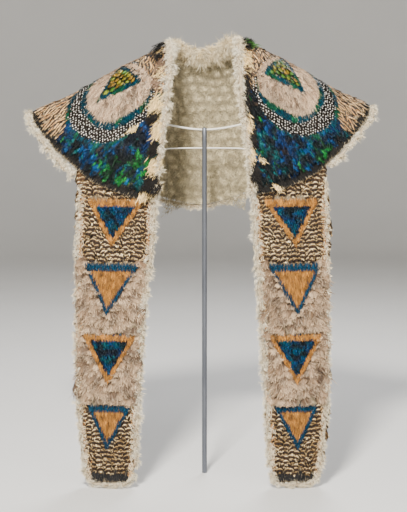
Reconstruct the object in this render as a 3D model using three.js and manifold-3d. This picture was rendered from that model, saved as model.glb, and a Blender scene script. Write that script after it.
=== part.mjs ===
// A feather pelerine on its display stand: a shoulder cape with two long fronts (lappets),
// covered with fields of feathers, edged with white down and held up by a rod with two
// cross wires and two padded arms. Millimetres, +Z up, the wearer's front faces -Y.
// "left" and "right" are the viewer's, seen from the front.
import * as THREE from "three";
import { mergeVertices } from "three/addons/utils/BufferGeometryUtils.js";
import Module from "manifold-3d";

const wasm = await Module();
wasm.setup();

// Driving sizes of the cape
const HALF_SPAN = 333; // centre to shoulder tip, cloth only
const RIDGE_TOP = 875.5; // height of the shoulder line, carried on to the centre
const RIDGE_FALL = 0.6; // fall of the shoulder line for each mm outwards
const TIP_RISE = 11; // the tips hang less steeply, and end this much higher
const NECK_ROUND = 80; // how softly the two shoulder lines meet over the neck
const SIDE_DROP = 6.5; // the left shoulder hangs lower and the right one higher by this
const SIDE_SHIFT = 7; // both tips lie this far to the left
const FRONT_ROUND = 86; // sets how far the front stands forward of the shoulder line
const BACK_ROUND = 77;
const FRONT_ROUND_LOSS = 46; // how much of that is lost at the tip
const BACK_ROUND_LOSS = 37;
const ROUND_POWER = 2.5;
const NECK_HALF_WIDTH = 76;
const NECK_DEPTH = 90; // neck edge behind the shoulder line, along the cloth

// Thicknesses, measured outwards from the inner face of the ground cloth
const GROUND = 2;
const GAP = 0.3; // between layers
const SEAM = 0.4; // between the edges of neighbouring fields
const LINING = 2.5;
const FIELD_BASE = GROUND + GAP;

// Hem of the cape: x from the centre, run = distance from the shoulder line along the cloth
const HEM = [
  { x: 333, run: 0 },
  { x: 326, run: 42 },
  { x: 301, run: 91 },
  { x: 275, run: 133 },
  { x: 247, run: 176 },
  { x: 216, run: 224 },
  { x: 175, run: 269 },
  { x: 138, run: 304 },
  { x: 97, run: 333 },
];
const BACK_HEM_RUN = 383; // at the centre back

// Front opening edge of the cape
const FRONT_EDGE = [
  { x: 76, run: 0 },
  { x: 76, run: 80 },
  { x: 80, run: 150 },
  { x: 88, run: 213 },
  { x: 97, run: 290 },
  { x: 97, run: 333 },
];

// Edges of a lappet from under the cape down to its rounded end
const LAPPET_END = 11; // height of the cloth's end above the floor
const LAPPET_CORNER = 22;
const LAPPET_TUCK = 38; // how far it reaches up inside the cape
const LAPPET_EDGES = [
  { z: 700, inner: 98, outer: 231 },
  { z: 558, inner: 100, outer: 233 },
  { z: 487, inner: 104, outer: 236 },
  { z: 422, inner: 110, outer: 237.5 },
  { z: 365, inner: 115.5, outer: 238.5 },
  { z: 307, inner: 119.5, outer: 239 },
  { z: 230, inner: 125, outer: 237.5 },
  { z: 165, inner: 129, outer: 235 },
  { z: 101, inner: 132, outer: 230 },
  { z: 11, inner: 137, outer: 219 },
];
const LAPPET_FOOT_Y = -110; // the inner edge at the floor
const LAPPET_TURN = 0.09; // its outer edge lies further back, per mm of width
const UNDER_CAPE = { left: 1.6, right: 2.3 }; // room between a lappet's top and the cape's lining
const LAPPET_LEAN = { by: 4, from: 480, to: 340 }; // both lie to the left from these heights down
const LAPPET_BOW = 3; // middle stands forward of the edges

// Bands down a lappet, from top to bottom
const BANDS = { barredEnd: 433, paleEnd: 161, endBand: 27 };

// Inverted triangles down a lappet: top edge height, its two ends, and the apex
const TRIANGLES = [
  { top: 544, inner: 128, outer: 208, apexX: 175, apexZ: 479, bar: 10, edge: 7 },
  { top: 420, inner: 134, outer: 216, apexX: 182, apexZ: 346, bar: 10, edge: 6 },
  { top: 286, inner: 139, outer: 218, apexX: 181, apexZ: 214, bar: 7, edge: 6 },
  { top: 148, inner: 149, outer: 211, apexX: 183, apexZ: 88, bar: 9, edge: 6 },
];

// Shoulder ornament on the cloth laid out flat: outlines from the inner end round to the
// shoulder line. Behind the line they close in the same way, but shallower.
const BEHIND = 0.55;
const PALE_EDGE = [
  { x: 152, run: 0 },
  { x: 106, run: 88 },
  { x: 103, run: 118 },
  { x: 110, run: 138 },
  { x: 139, run: 143 },
  { x: 175, run: 141 },
  { x: 201, run: 120 },
  { x: 220, run: 87 },
  { x: 224, run: 62 },
  { x: 215, run: 31 },
  { x: 198, run: 0 },
];
const TEAL_EDGE = [
  { x: 150, run: 0 },
  { x: 102, run: 100 },
  { x: 101, run: 130 },
  { x: 110, run: 148 },
  { x: 128, run: 156 },
  { x: 150, run: 158 },
  { x: 175, run: 153 },
  { x: 200, run: 133 },
  { x: 216, run: 110 },
  { x: 231, run: 80 },
  { x: 235, run: 55 },
  { x: 228, run: 28 },
  { x: 211, run: 0 },
];
const SPOTTED_EDGE = [
  { x: 148, run: 0 },
  { x: 100, run: 110 },
  { x: 98, run: 140 },
  { x: 109, run: 166 },
  { x: 128, run: 179 },
  { x: 154, run: 182 },
  { x: 188, run: 171 },
  { x: 222, run: 142 },
  { x: 249, run: 103 },
  { x: 257, run: 70 },
  { x: 252, run: 42 },
  { x: 241, run: 18 },
  { x: 227, run: 0 },
];
const OUTER_EDGE = [
  { x: 146, run: 0 },
  { x: 100, run: 116 },
  { x: 100, run: 150 },
  { x: 120, run: 177 },
  { x: 154, run: 186 },
  { x: 191, run: 178 },
  { x: 227, run: 149 },
  { x: 256, run: 107 },
  { x: 265, run: 70 },
  { x: 260, run: 40 },
  { x: 249, run: 16 },
  { x: 235, run: 0 },
];
const SCALE_TRIANGLE = [
  { x: 154, run: 3 },
  { x: 113, run: 92 },
  { x: 198, run: 83 },
];
const SCALE_BORDER = 9;
const BREAST_TOP = 755; // height of the top edge of the blue-green field
const BREAST_SIDE = { x0: 259, z0: 712, x1: 296, z1: 640 }; // its outer edge
const BACK_BREAST = { halfWidth: 215, height: 168 };
const HEM_BAND = { tip: 9, foot: 17 }; // width of the black band

// Feather thickness of each field
const DEPTH = { scale: 2.2, teal: 2.4, pale: 4.2, spotted: 2.6, brown: 2.8, breast: 3.4 };
const BAND_DEPTH = 2.2;

// Down edging: half its width in the plane of the cloth, and half its thickness
const DOWN = { collar: 17, neck: 11.5, front: 10, inner: 9, side: 6.5, hem: 8, backHem: 5 };
const DOWN_THICK = { collar: 14, front: 9, side: 7, hem: 6 };
const LUMP = 0.06; // share by which the down swells and sinks

// Stand
const ROD_RADIUS = 5;
const ROD_TOP = 695;
const UPPER_WIRE = { radius: 2.3, z: 689, armX: 132, bendX: 84, rise: 7 };
const LOWER_WIRE = { radius: 1.8, z: 655, armX: 226, bendX: 96, rise: 1 };
const ARM = { radius: 11, from: 92, to: 300 };

// Mesh steps
const STEP = 30; // spacing of points along a straight run
const BOWL = 5e-5; // keeps the flat grids from being simplified when they are cut

// Sine integral and its cosine partner, by their power series
function series(x, first, power, divisor) {
  let term = first;
  let sum = first / divisor;
  for (let k = power; k < power + 14; k += 2) {
    term *= (-x * x) / (k * (k + 1));
    sum += term / (divisor + k - power + 2);
  }
  return sum;
}
const sineIntegral = (x) => series(x, x, 2, 1);
const cosineLoss = (x) => series(x, (x * x) / 2, 3, 2);
const QUARTER = Math.PI / 2;

// Arch over the shoulder: the cloth starts level on the shoulder line, and its slope turns
// towards upright as 1 - exp(-run / round). reach is how far out it has gone, drop how far down.
const reach = (run, round) =>
  round * (sineIntegral(QUARTER) - sineIntegral(QUARTER * Math.exp(-run / round)));
const drop = (run, round) =>
  run - round * (cosineLoss(QUARTER) - cosineLoss(QUARTER * Math.exp(-run / round)));

const spread = (x) => Math.hypot(x, NECK_ROUND) - NECK_ROUND;
const tipRise = (x) => TIP_RISE * THREE.MathUtils.smoothstep(Math.abs(x), 250, HALF_SPAN);
const ridge = (x) => RIDGE_TOP - RIDGE_FALL * spread(x) + tipRise(x);
const sideLift = (x) => SIDE_DROP * Math.tanh(x / NECK_ROUND);
const share = (x) => (Math.abs(x) / HALF_SPAN) ** ROUND_POWER;
const frontRound = (x) => FRONT_ROUND - FRONT_ROUND_LOSS * share(x);
const backRound = (x) => BACK_ROUND - BACK_ROUND_LOSS * share(x);
// Run of the point that shows at height z when the cloth is laid out flat from the front
const runAt = (x, z) => ridge(x) + frontRound(x) * cosineLoss(QUARTER) - z;

// Point of the cape's inner ground face: run is positive in front and negative behind.
function capePoint(x, run) {
  const round = run >= 0 ? frontRound(x) : backRound(x);
  const out = reach(Math.abs(run), round);
  return new THREE.Vector3(
    x - SIDE_SHIFT * (x / HALF_SPAN) ** 2,
    run >= 0 ? -out : out,
    ridge(x) + sideLift(x) - drop(Math.abs(run), round),
  );
}

// Linear reading of a table with named columns
function readTable(table, key, at, column) {
  const rows = [...table].sort((a, b) => a[key] - b[key]);
  const i = Math.min(Math.max(rows.findIndex((row) => row[key] >= at), 1), rows.length - 1);
  const t = THREE.MathUtils.clamp((at - rows[i - 1][key]) / (rows[i][key] - rows[i - 1][key]), 0, 1);
  return THREE.MathUtils.lerp(rows[i - 1][column], rows[i][column], t);
}
// Front hem as points (x, run), and its height at x as it really hangs
const V2 = (x, y) => new THREE.Vector2(x, y);
const curve = (points, steps) => new THREE.SplineCurve(points).getSpacedPoints(steps);
const frontHem = curve(HEM.map((row) => V2(row.x, row.run)), 15);
const hemHeight = (x) => capePoint(x, readTable(frontHem, "x", Math.abs(x), "y")).z;

// Point of a lappet's inner ground face. Its top lies against the cape's lining.
function lappetPoint(x, z) {
  const hem = hemHeight(x);
  const run = runAt(x, Math.max(z, hem) - sideLift(x));
  const under = LINING + GAP + (x < 0 ? UNDER_CAPE.left : UNDER_CAPE.right) + GROUND;
  const top = -reach(run, frontRound(x)) + under;
  const inner = readTable(LAPPET_EDGES, "z", z, "inner");
  const outer = readTable(LAPPET_EDGES, "z", z, "outer");
  const across = (Math.abs(x) - inner) / (outer - inner);
  const foot = LAPPET_FOOT_Y + LAPPET_TURN * (Math.abs(x) - inner);
  const fallen = THREE.MathUtils.smoothstep(hem - z, 20, hem - 130);
  const bow = LAPPET_BOW * fallen * (1 - (2 * across - 1) ** 2);
  const leaning = THREE.MathUtils.smoothstep(-z, -LAPPET_LEAN.from, -LAPPET_LEAN.to);
  return new THREE.Vector3(
    x - LAPPET_LEAN.by * leaning - SIDE_SHIFT * (x / HALF_SPAN) ** 2 * (1 - leaning),
    THREE.MathUtils.lerp(top, foot, fallen) - bow,
    z,
  );
}

// Outward normal of a surface given as point(a, b), by differences
function normalAt(point, a, b) {
  const along = point(a + 1, b).sub(point(a - 1, b));
  const down = point(a, b + 1).sub(point(a, b - 1));
  return along.cross(down).normalize();
}
const capeNormal = (x, run) => normalAt(capePoint, x, run).negate();
const lappetNormal = (x, z) => normalAt(lappetPoint, x, z);

// A sheet of cloth with flat facets: its surface is exact at the grid's nodes, and between
// them it runs straight, so that every layer laid on it keeps the same distance.
function facetted(columns, rows, point, normal) {
  const span = (values, at) => {
    const i = THREE.MathUtils.clamp(values.findIndex((v) => v > at) - 1, 0, values.length - 2);
    const last = at >= values[values.length - 1] ? values.length - 2 : i;
    return [last, (at - values[last]) / (values[last + 1] - values[last])];
  };
  const lift = (a, b, h, relief = () => 0) => {
    const [i, u] = span(columns, a);
    const [j, v] = span(rows, b);
    const node = (m, n) => {
      const [x, y] = [columns[i + m], rows[j + n]];
      return point(x, y).addScaledVector(normal(x, y), h + relief(x, y));
    };
    const [first, corner] = [node(0, 0), node(1, 1)];
    const between = v > u ? node(0, 1) : node(1, 0);
    const parts = v > u ? [1 - v, v - u, u] : [1 - u, u - v, v];
    return first
      .multiplyScalar(parts[0])
      .addScaledVector(between, parts[1])
      .addScaledVector(corner, parts[2]);
  };
  return { columns, rows, lift };
}

// A three.js geometry as a solid, with its shared vertices merged
function solidOf(geometry) {
  const bare = geometry.clone();
  bare.deleteAttribute("normal");
  bare.deleteAttribute("uv");
  const merged = mergeVertices(bare, 1e-4);
  return new wasm.Manifold(
    new wasm.Mesh({
      numProp: 3,
      vertProperties: new Float32Array(merged.attributes.position.array),
      triVerts: new Uint32Array(merged.index.array),
    }),
  );
}

function geometryOf(solid, move = (x, y, z) => new THREE.Vector3(x, y, z)) {
  const mesh = solid.getMesh();
  const position = new Float32Array(mesh.numVert * 3);
  for (let i = 0; i < mesh.numVert; i++) {
    const [x, y, z] = mesh.vertProperties.subarray(i * mesh.numProp, i * mesh.numProp + 3);
    move(x, y, z).toArray(position, i * 3);
  }
  const geometry = new THREE.BufferGeometry()
    .setAttribute("position", new THREE.BufferAttribute(position, 3))
    .setIndex(new THREE.BufferAttribute(new Uint32Array(mesh.triVerts), 1));
  return outward(geometry);
}

// Turns every face round if the closed mesh is inside out.
function outward(geometry) {
  const index = [...geometry.index.array];
  const at = (i) => new THREE.Vector3().fromBufferAttribute(geometry.attributes.position, index[i]);
  let volume = 0;
  for (let i = 0; i < index.length; i += 3) volume += at(i).dot(at(i + 1).cross(at(i + 2)));
  if (volume > 0) return geometry;
  for (let i = 0; i < index.length; i += 3) [index[i], index[i + 1]] = [index[i + 1], index[i]];
  return geometry.setIndex(index);
}

// The flat grids lie on a very shallow twisted bowl, so each cell keeps its own two triangles.
const bowl = (a, b) => BOWL * (a * a + b * b + a * b);

// Closed slab over a grid of the flat pattern, from lower to upper above the bowl
function gridSlab(columns, rows, lower, upper) {
  const position = [];
  const index = [];
  const width = columns.length;
  const layer = width * rows.length;
  for (const h of [lower, upper])
    for (const b of rows) for (const a of columns) position.push(a, b, bowl(a, b) + h);
  const quad = (p, q, r, s) => index.push(p, q, r, p, r, s);
  for (let j = 0; j + 1 < rows.length; j++)
    for (let i = 0; i + 1 < width; i++) {
      const p = j * width + i;
      quad(p, p + width, p + width + 1, p + 1);
      quad(layer + p, layer + p + 1, layer + p + width + 1, layer + p + width);
    }
  const wall = (p, q) => quad(p, q, q + layer, p + layer);
  for (let i = 0; i + 1 < width; i++) {
    wall(i, i + 1);
    wall(layer - width + i + 1, layer - width + i);
  }
  for (let j = 0; j + 1 < rows.length; j++) {
    wall((j + 1) * width, j * width);
    wall((j + 1) * width - 1, (j + 2) * width - 1);
  }
  return new THREE.BufferGeometry()
    .setAttribute("position", new THREE.Float32BufferAttribute(position, 3))
    .setIndex(index);
}

// Upright prism through the flat grids, from an outline on the pattern
function column(points) {
  const shape = new THREE.Shape(points);
  const prism = new THREE.ExtrudeGeometry(shape, { depth: 500, bevelEnabled: false });
  return solidOf(prism.translate(0, 0, -150));
}

// Moves each point of a closed outline outwards, or inwards if the distance is negative.
function offset(points, distance) {
  const turn = THREE.ShapeUtils.area(points) > 0 ? 1 : -1;
  return points.map((p, i) => {
    const before = points[(i + points.length - 1) % points.length];
    const after = points[(i + 1) % points.length];
    const first = p.clone().sub(before).normalize();
    const second = after.clone().sub(p).normalize();
    const normal = new THREE.Vector2(first.y + second.y, -first.x - second.x).normalize();
    const stretch = Math.max(0.35, normal.dot(new THREE.Vector2(second.y, -second.x)));
    return p.clone().addScaledVector(normal, (turn * distance) / stretch);
  });
}

// The largest single body of a cut solid
function largest(solid) {
  const bodies = solid.decompose();
  return bodies.reduce((a, b) => (b.volume() > a.volume() ? b : a));
}

// A panel: the cells of the grid inside the outline and outside the others, lifted to the cloth.
function panel(cloth, lower, upper, inside, outside = [], relief = () => 0) {
  const slab = solidOf(gridSlab(cloth.columns, cloth.rows, lower, upper));
  let cut = slab.intersect(column(inside));
  for (const other of outside) cut = cut.subtract(column(offset(other, SEAM)));
  return geometryOf(largest(cut), (a, b, c) => {
    const atTop = c - bowl(a, b) > (lower + upper) / 2;
    return atTop ? cloth.lift(a, b, upper, relief) : cloth.lift(a, b, lower);
  });
}

// Grid lines: closer where the cloth turns most
function lines(from, to) {
  const count = Math.round((to - from) / STEP);
  return Array.from({ length: count + 1 }, (_, i) => THREE.MathUtils.lerp(from, to, i / count));
}
const bothWays = (values) => [...values.map((v) => -v).reverse(), 0, ...values];
const CAPE_COLUMNS = [42, 72, 110, 160, 215, 275, 345];
const CAPE_ROWS = [13, 31, 54, 84, 125, 185, 260, 396];
const LAPPET_COLUMNS = [90, 140, 190, 248];
const LAPPET_ROWS = [0, 80, 190, 300, 400, 465, 510, 545, 580, 620, 660, 700];
const capeCloth = facetted(bothWays(CAPE_COLUMNS), bothWays(CAPE_ROWS), capePoint, capeNormal);
const lappetCloth = facetted(bothWays(LAPPET_COLUMNS), LAPPET_ROWS, lappetPoint, lappetNormal);

// Outlines on the cape's pattern, as points (x, run)
const backHem = curve(
  [
    ...HEM.map((row) => V2(row.x, -row.run)),
    V2(0, -BACK_HEM_RUN),
    ...[...HEM].reverse().map((row) => V2(-row.x, -row.run)),
  ],
  42,
);
const frontEdge = curve(FRONT_EDGE.map((row) => V2(row.x, row.run)), 8);
const neckArc = (halfWidth, depth, steps = 14) =>
  Array.from({ length: steps + 1 }, (_, i) => {
    const angle = (Math.PI * i) / steps;
    return V2(halfWidth * Math.cos(angle), -depth * Math.sin(angle));
  });
const mirrored = (points, side) => points.map((p) => V2(side * p.x, p.y));

const frontOutline = [...frontHem, ...[...frontEdge].reverse()];
const backOutline = [...[...neckArc(NECK_HALF_WIDTH, NECK_DEPTH)].reverse(), ...backHem];
const wholeOutline = [
  ...frontHem.slice().reverse(),
  ...backHem.slice(1, -1),
  ...mirrored(frontHem, -1),
  ...mirrored(frontEdge, -1).reverse(),
  ...[...neckArc(NECK_HALF_WIDTH, NECK_DEPTH)].reverse().slice(1, -1),
  ...frontEdge,
];

// Ornament outlines, given as seen from the front and brought to the pattern
const fromFront = (points, side) => points.map((p) => V2(side * p.x, runAt(p.x, p.y)));
const OUTLINE_POINTS = 20;
function ornament(rows) {
  const front = rows.map((row) => V2(row.x, row.run));
  const back = rows.slice(1, -1).map((row) => V2(row.x, -BEHIND * row.run));
  const points = [...front, ...back.reverse()];
  return new THREE.SplineCurve([...points, points[0]]).getSpacedPoints(OUTLINE_POINTS).slice(1);
}
const scaleTriangle = SCALE_TRIANGLE.map((row) => V2(row.x, row.run));
const innerTriangle = offset(scaleTriangle, -SCALE_BORDER);
const breastOutline = [
  V2(40, BREAST_TOP),
  V2(150, BREAST_TOP),
  V2(220, 740),
  V2(BREAST_SIDE.x0, BREAST_SIDE.z0),
  V2(BREAST_SIDE.x1, BREAST_SIDE.z1),
  V2(320, 520),
  V2(40, 500),
];

// The black band lies between the hem and a line inside it, wider towards the foot.
const bandWidth = (run) =>
  THREE.MathUtils.lerp(HEM_BAND.tip, HEM_BAND.foot, Math.min(1, Math.abs(run) / 300));
// The hem carried on a little past the front edges, and moved inwards or outwards
function besideHem(line, widthAt) {
  const first = line[0].clone().add(V2(-14, 6));
  const last = line[line.length - 1].clone().add(V2(14, 6));
  const carried = [first, ...line, last];
  return carried.map((p, i) => {
    const before = carried[Math.max(0, i - 1)];
    const after = carried[Math.min(carried.length - 1, i + 1)];
    const along = after.clone().sub(before).normalize();
    return p.clone().addScaledVector(V2(along.y, -along.x), widthAt(p.y));
  });
}
const hemLine = [
  ...frontHem.slice().reverse(),
  ...backHem.slice(1, -1),
  ...mirrored(frontHem, -1),
];
const bandLine = besideHem(hemLine, bandWidth);
const outsideLine = besideHem(hemLine, () => -6);
const bandOutline = [...outsideLine, ...[...bandLine].reverse()];

// Materials: colours as sRGB, with roughness
const finish = (name, color, roughness, metalness = 0) =>
  new THREE.MeshStandardMaterial({ name, color, roughness, metalness });
const cloth = finish("ground_cloth", 0xd8cbb0, 0.9);
const liningCloth = finish("lining", 0xb3a888, 0.95);
const down = finish("white_down", 0xe6e0d0, 1);
const brown = finish("brown_feather", 0xb58a5c, 0.75);
const barred = finish("barred_feather", 0x6e5236, 0.75);
const pale = finish("pale_feather", 0xc9b39a, 0.85);
const teal = finish("teal_feather", 0x08525e, 0.45);
const blue = finish("blue_green_feather", 0x0a3d5c, 0.4);
const spotted = finish("spotted_feather", 0x5a5450, 0.6);
const gold = finish("gold_green_feather", 0x7d8a1e, 0.4);
const orange = finish("orange_feather", 0xc88432, 0.8);
const black = finish("black_feather", 0x181614, 0.7);
const steel = finish("rod_steel", 0x6d727c, 0.4, 0.8);
const white = finish("white_wire", 0xe9e4d8, 0.5);
const padding = finish("arm_cover", 0xdcd6c6, 0.95);

const pelerine = new THREE.Group();
pelerine.name = "pelerine";
function add(name, geometry, material) {
  const mesh = new THREE.Mesh(geometry, material);
  mesh.name = name;
  pelerine.add(mesh);
}
const SIDES = [
  { name: "left", sign: -1 },
  { name: "right", sign: 1 },
];

// A small seam gap along the shoulder line parts the fronts from the back.
const seam = (points, shift) => points.map((p) => (Math.abs(p.y) < 1e-6 ? V2(p.x, shift) : p));
const fullness = (a, b) => 0.9 * Math.sin(a / 11 + b / 23) * Math.sin(b / 13 - a / 37);

function makeGround() {
  add("cape_back", panel(capeCloth, 0, GROUND, seam(backOutline, -GAP / 2)), cloth);
  add("cape_lining", panel(capeCloth, -GAP - LINING, -GAP, wholeOutline), liningCloth);
  for (const side of SIDES) {
    const outline = seam(mirrored(frontOutline, side.sign), GAP / 2);
    add(`cape_front_${side.name}`, panel(capeCloth, 0, GROUND, outline), cloth);
  }
}

// Feather fields of the cape. Each one is cut back from those that lie before it in the list.
function makeCapeFields() {
  const backBreast = Array.from({ length: 25 }, (_, i) => {
    const angle = (Math.PI * i) / 24;
    return V2(
      BACK_BREAST.halfWidth * Math.cos(angle),
      -BACK_HEM_RUN - 12 + (BACK_BREAST.height + 12) * Math.sin(angle),
    );
  });
  const upTo = (cut, others) =>
    others.reduce((rest, other) => rest.subtract(column(offset(other, SEAM))), cut);
  const onCloth = (name, depth, outline, others, material, relief) => {
    const slab = solidOf(gridSlab(capeCloth.columns, capeCloth.rows, FIELD_BASE, FIELD_BASE + depth));
    const kept = slab.intersect(column(outline)).intersect(column(wholeOutline));
    const cut = upTo(kept, outline === bandOutline ? [] : [bandOutline, ...others]);
    const top = FIELD_BASE + depth;
    const geometry = geometryOf(largest(cut), (a, b, c) => {
      const atTop = c - bowl(a, b) > FIELD_BASE + depth / 2;
      return atTop ? capeCloth.lift(a, b, top, relief) : capeCloth.lift(a, b, FIELD_BASE);
    });
    add(name, geometry, material);
  };
  onCloth("hem_band", BAND_DEPTH, bandOutline, [], black);
  onCloth("breast_field_back", DEPTH.breast, backBreast, [], blue);
  for (const { name, sign } of SIDES) {
    const [triangle, inner] = [scaleTriangle, innerTriangle].map((o) => mirrored(o, sign));
    const edges = [PALE_EDGE, TEAL_EDGE, SPOTTED_EDGE, OUTER_EDGE];
    const ovals = edges.map((rows) => mirrored(ornament(rows), sign));
    const breast = fromFront(breastOutline, sign);
    onCloth(`scale_triangle_${name}`, DEPTH.scale, inner, [], gold);
    onCloth(`triangle_border_${name}`, DEPTH.teal, triangle, [inner], teal);
    onCloth(`pale_oval_${name}`, DEPTH.pale, ovals[0], [triangle], pale, fullness);
    onCloth(`teal_crescent_${name}`, DEPTH.teal, ovals[1], [ovals[0], triangle], teal);
    onCloth(`spotted_crescent_${name}`, DEPTH.spotted, ovals[2], [ovals[0], ovals[1]], spotted);
    onCloth(`outer_crescent_${name}`, DEPTH.teal, ovals[3], ovals.slice(0, 3), teal);
    onCloth(`breast_field_${name}`, DEPTH.breast, breast, ovals, blue);
    const half = [V2(sign * GAP, -420), V2(sign * 360, -420), V2(sign * 360, 420), V2(sign * GAP, 420)];
    onCloth(`brown_field_${name}`, DEPTH.brown, half, [...ovals, breast, backBreast], brown);
  }
}

// Outline of a lappet on its own pattern, as points (x, z), with a rounded end
const edgeAt = (z, column) => readTable(LAPPET_EDGES, "z", z, column);
function lappetOutline(sign) {
  const heights = lines(LAPPET_END + LAPPET_CORNER, 520);
  const corner = (x, turn) =>
    [0, 1, 2, 3, 4].map((i) => {
      const angle = (QUARTER * i) / 4;
      return V2(
        x + turn * LAPPET_CORNER * (1 - Math.cos(angle)),
        LAPPET_END + LAPPET_CORNER * (1 - Math.sin(angle)),
      );
    });
  const inner = [...heights].reverse().map((z) => V2(edgeAt(z, "inner"), z));
  const outer = heights.map((z) => V2(edgeAt(z, "outer"), z));
  const innerCorner = corner(edgeAt(LAPPET_END + LAPPET_CORNER, "inner"), 1);
  const outerCorner = corner(edgeAt(LAPPET_END + LAPPET_CORNER, "outer"), -1).reverse();
  const top = lines(98, 232).reverse().map((x) => V2(x, hemHeight(sign * x) + LAPPET_TUCK));
  return [...inner.slice(0, -1), ...innerCorner, ...outerCorner, ...outer.slice(1), ...top].map((p) =>
    V2(sign * p.x, p.y),
  );
}

// Band across a lappet between two heights; the top one follows the cape's hem.
function bandAcross(sign, high, low) {
  const xs = lines(60, 280);
  const upper = xs.map((x) => V2(sign * x, high === null ? hemHeight(sign * x) - 5 : high));
  const lower = [...xs].reverse().map((x) => V2(sign * x, low));
  return [...upper, ...lower];
}

function triangleOutlines(size, sign) {
  const inner = [V2(size.inner, size.top), V2(size.outer, size.top), V2(size.apexX, size.apexZ)];
  const outer = offset(inner, size.edge);
  outer[0].y = size.top + size.bar;
  outer[1].y = size.top + size.bar;
  return { inner: mirrored(inner, sign), outer: mirrored(outer, sign) };
}

function makeLappets() {
  for (const { name, sign } of SIDES) {
    const outline = lappetOutline(sign);
    add(`lappet_${name}`, panel(lappetCloth, 0, GROUND, outline), cloth);
    const shapes = TRIANGLES.map((size) => triangleOutlines(size, sign));
    const bands = [
      { key: "barred_upper", high: null, low: BANDS.barredEnd, depth: DEPTH.brown, of: barred },
      { key: "pale_field", high: BANDS.barredEnd - SEAM, low: BANDS.paleEnd, depth: DEPTH.pale, of: pale },
      { key: "barred_lower", high: BANDS.paleEnd - SEAM, low: BANDS.endBand, depth: DEPTH.brown, of: barred },
      { key: "end_band", high: BANDS.endBand - SEAM, low: LAPPET_END - 5, depth: BAND_DEPTH, of: black },
    ];
    for (const band of bands) {
      const upper = FIELD_BASE + band.depth;
      const slab = solidOf(gridSlab(lappetCloth.columns, lappetCloth.rows, FIELD_BASE, upper));
      let cut = slab.intersect(column(outline)).intersect(column(bandAcross(sign, band.high, band.low)));
      for (const shape of shapes) cut = cut.subtract(column(offset(shape.outer, SEAM)));
      const lumps = band.of === pale ? fullness : () => 0;
      const geometry = geometryOf(largest(cut), (a, b, c) => {
        const atTop = c - bowl(a, b) > FIELD_BASE + band.depth / 2;
        return atTop ? lappetCloth.lift(a, b, upper, lumps) : lappetCloth.lift(a, b, FIELD_BASE);
      });
      add(`${band.key}_${name}`, geometry, band.of);
    }
    shapes.forEach((shape, i) => {
      const odd = i % 2 === 0;
      const top = FIELD_BASE + DEPTH.teal;
      const tile = panel(lappetCloth, FIELD_BASE, top, shape.inner);
      add(`triangle_${i + 1}_${name}`, tile, odd ? blue : orange);
      const frame = panel(lappetCloth, FIELD_BASE, top, shape.outer, [shape.inner]);
      add(`border_${i + 1}_${name}`, frame, odd ? orange : teal);
    });
  }
}

// Roll of down: rings along a path, each an ellipse in the plane across it. Rings stay above
// the floor, so the roll under a lappet is flat where it stands.
function downRoll(stations, sides = 8) {
  const position = [];
  const index = [];
  stations.forEach((at, i) => {
    const before = stations[Math.max(0, i - 1)].centre;
    const after = stations[Math.min(stations.length - 1, i + 1)].centre;
    const along = after.clone().sub(before).normalize();
    const across = along.clone().cross(at.normal).normalize();
    const up = across.clone().cross(along).normalize();
    const swell = 1 - LUMP * (0.5 + 0.5 * Math.sin(1.9 * i) * Math.cos(0.73 * i));
    for (let k = 0; k < sides; k++) {
      const angle = (2 * Math.PI * (k + 0.5)) / sides;
      const p = at.centre
        .clone()
        .addScaledVector(across, at.wide * swell * Math.cos(angle))
        .addScaledVector(up, at.thick * swell * Math.sin(angle));
      position.push(p.x, p.y, Math.max(0, p.z));
    }
  });
  const last = (stations.length - 1) * sides;
  for (let i = 0; i + 1 < stations.length; i++)
    for (let k = 0; k < sides; k++) {
      const a = i * sides + k;
      const b = i * sides + ((k + 1) % sides);
      index.push(a, b, b + sides, a, b + sides, a + sides);
    }
  for (let k = 1; k + 1 < sides; k++) {
    index.push(0, k + 1, k);
    index.push(last, last + k, last + k + 1);
  }
  const geometry = new THREE.BufferGeometry()
    .setAttribute("position", new THREE.Float32BufferAttribute(position, 3))
    .setIndex(index);
  return outward(geometry);
}

// Path beside an open edge on a pattern: each point moved off the cloth by the roll's half width
function beside(line, wideAt, turn, clear = 2 * GAP) {
  return line.map((p, i) => {
    const before = line[Math.max(0, i - 1)];
    const after = line[Math.min(line.length - 1, i + 1)];
    const along = after.clone().sub(before).normalize();
    return p.clone().addScaledVector(V2(along.y * turn, -along.x * turn), wideAt(p) + clear);
  });
}
const MIDDLE = (GROUND + BAND_DEPTH) / 2;
const onCape = (p, wide, thick) => ({
  centre: capeCloth.lift(p.x, p.y, MIDDLE),
  normal: capeNormal(p.x, p.y),
  wide,
  thick,
});
const onLappet = (p, wide, thick) => ({
  centre: lappetCloth.lift(p.x, p.y, MIDDLE),
  normal: lappetNormal(p.x, p.y),
  wide,
  thick,
});

function evenly(line, step) {
  const path = new THREE.CurvePath();
  line.slice(1).forEach((p, i) => path.add(new THREE.LineCurve(line[i], p)));
  const length = path.getLength();
  return path.getSpacedPoints(Math.round(length / step));
}

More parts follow.
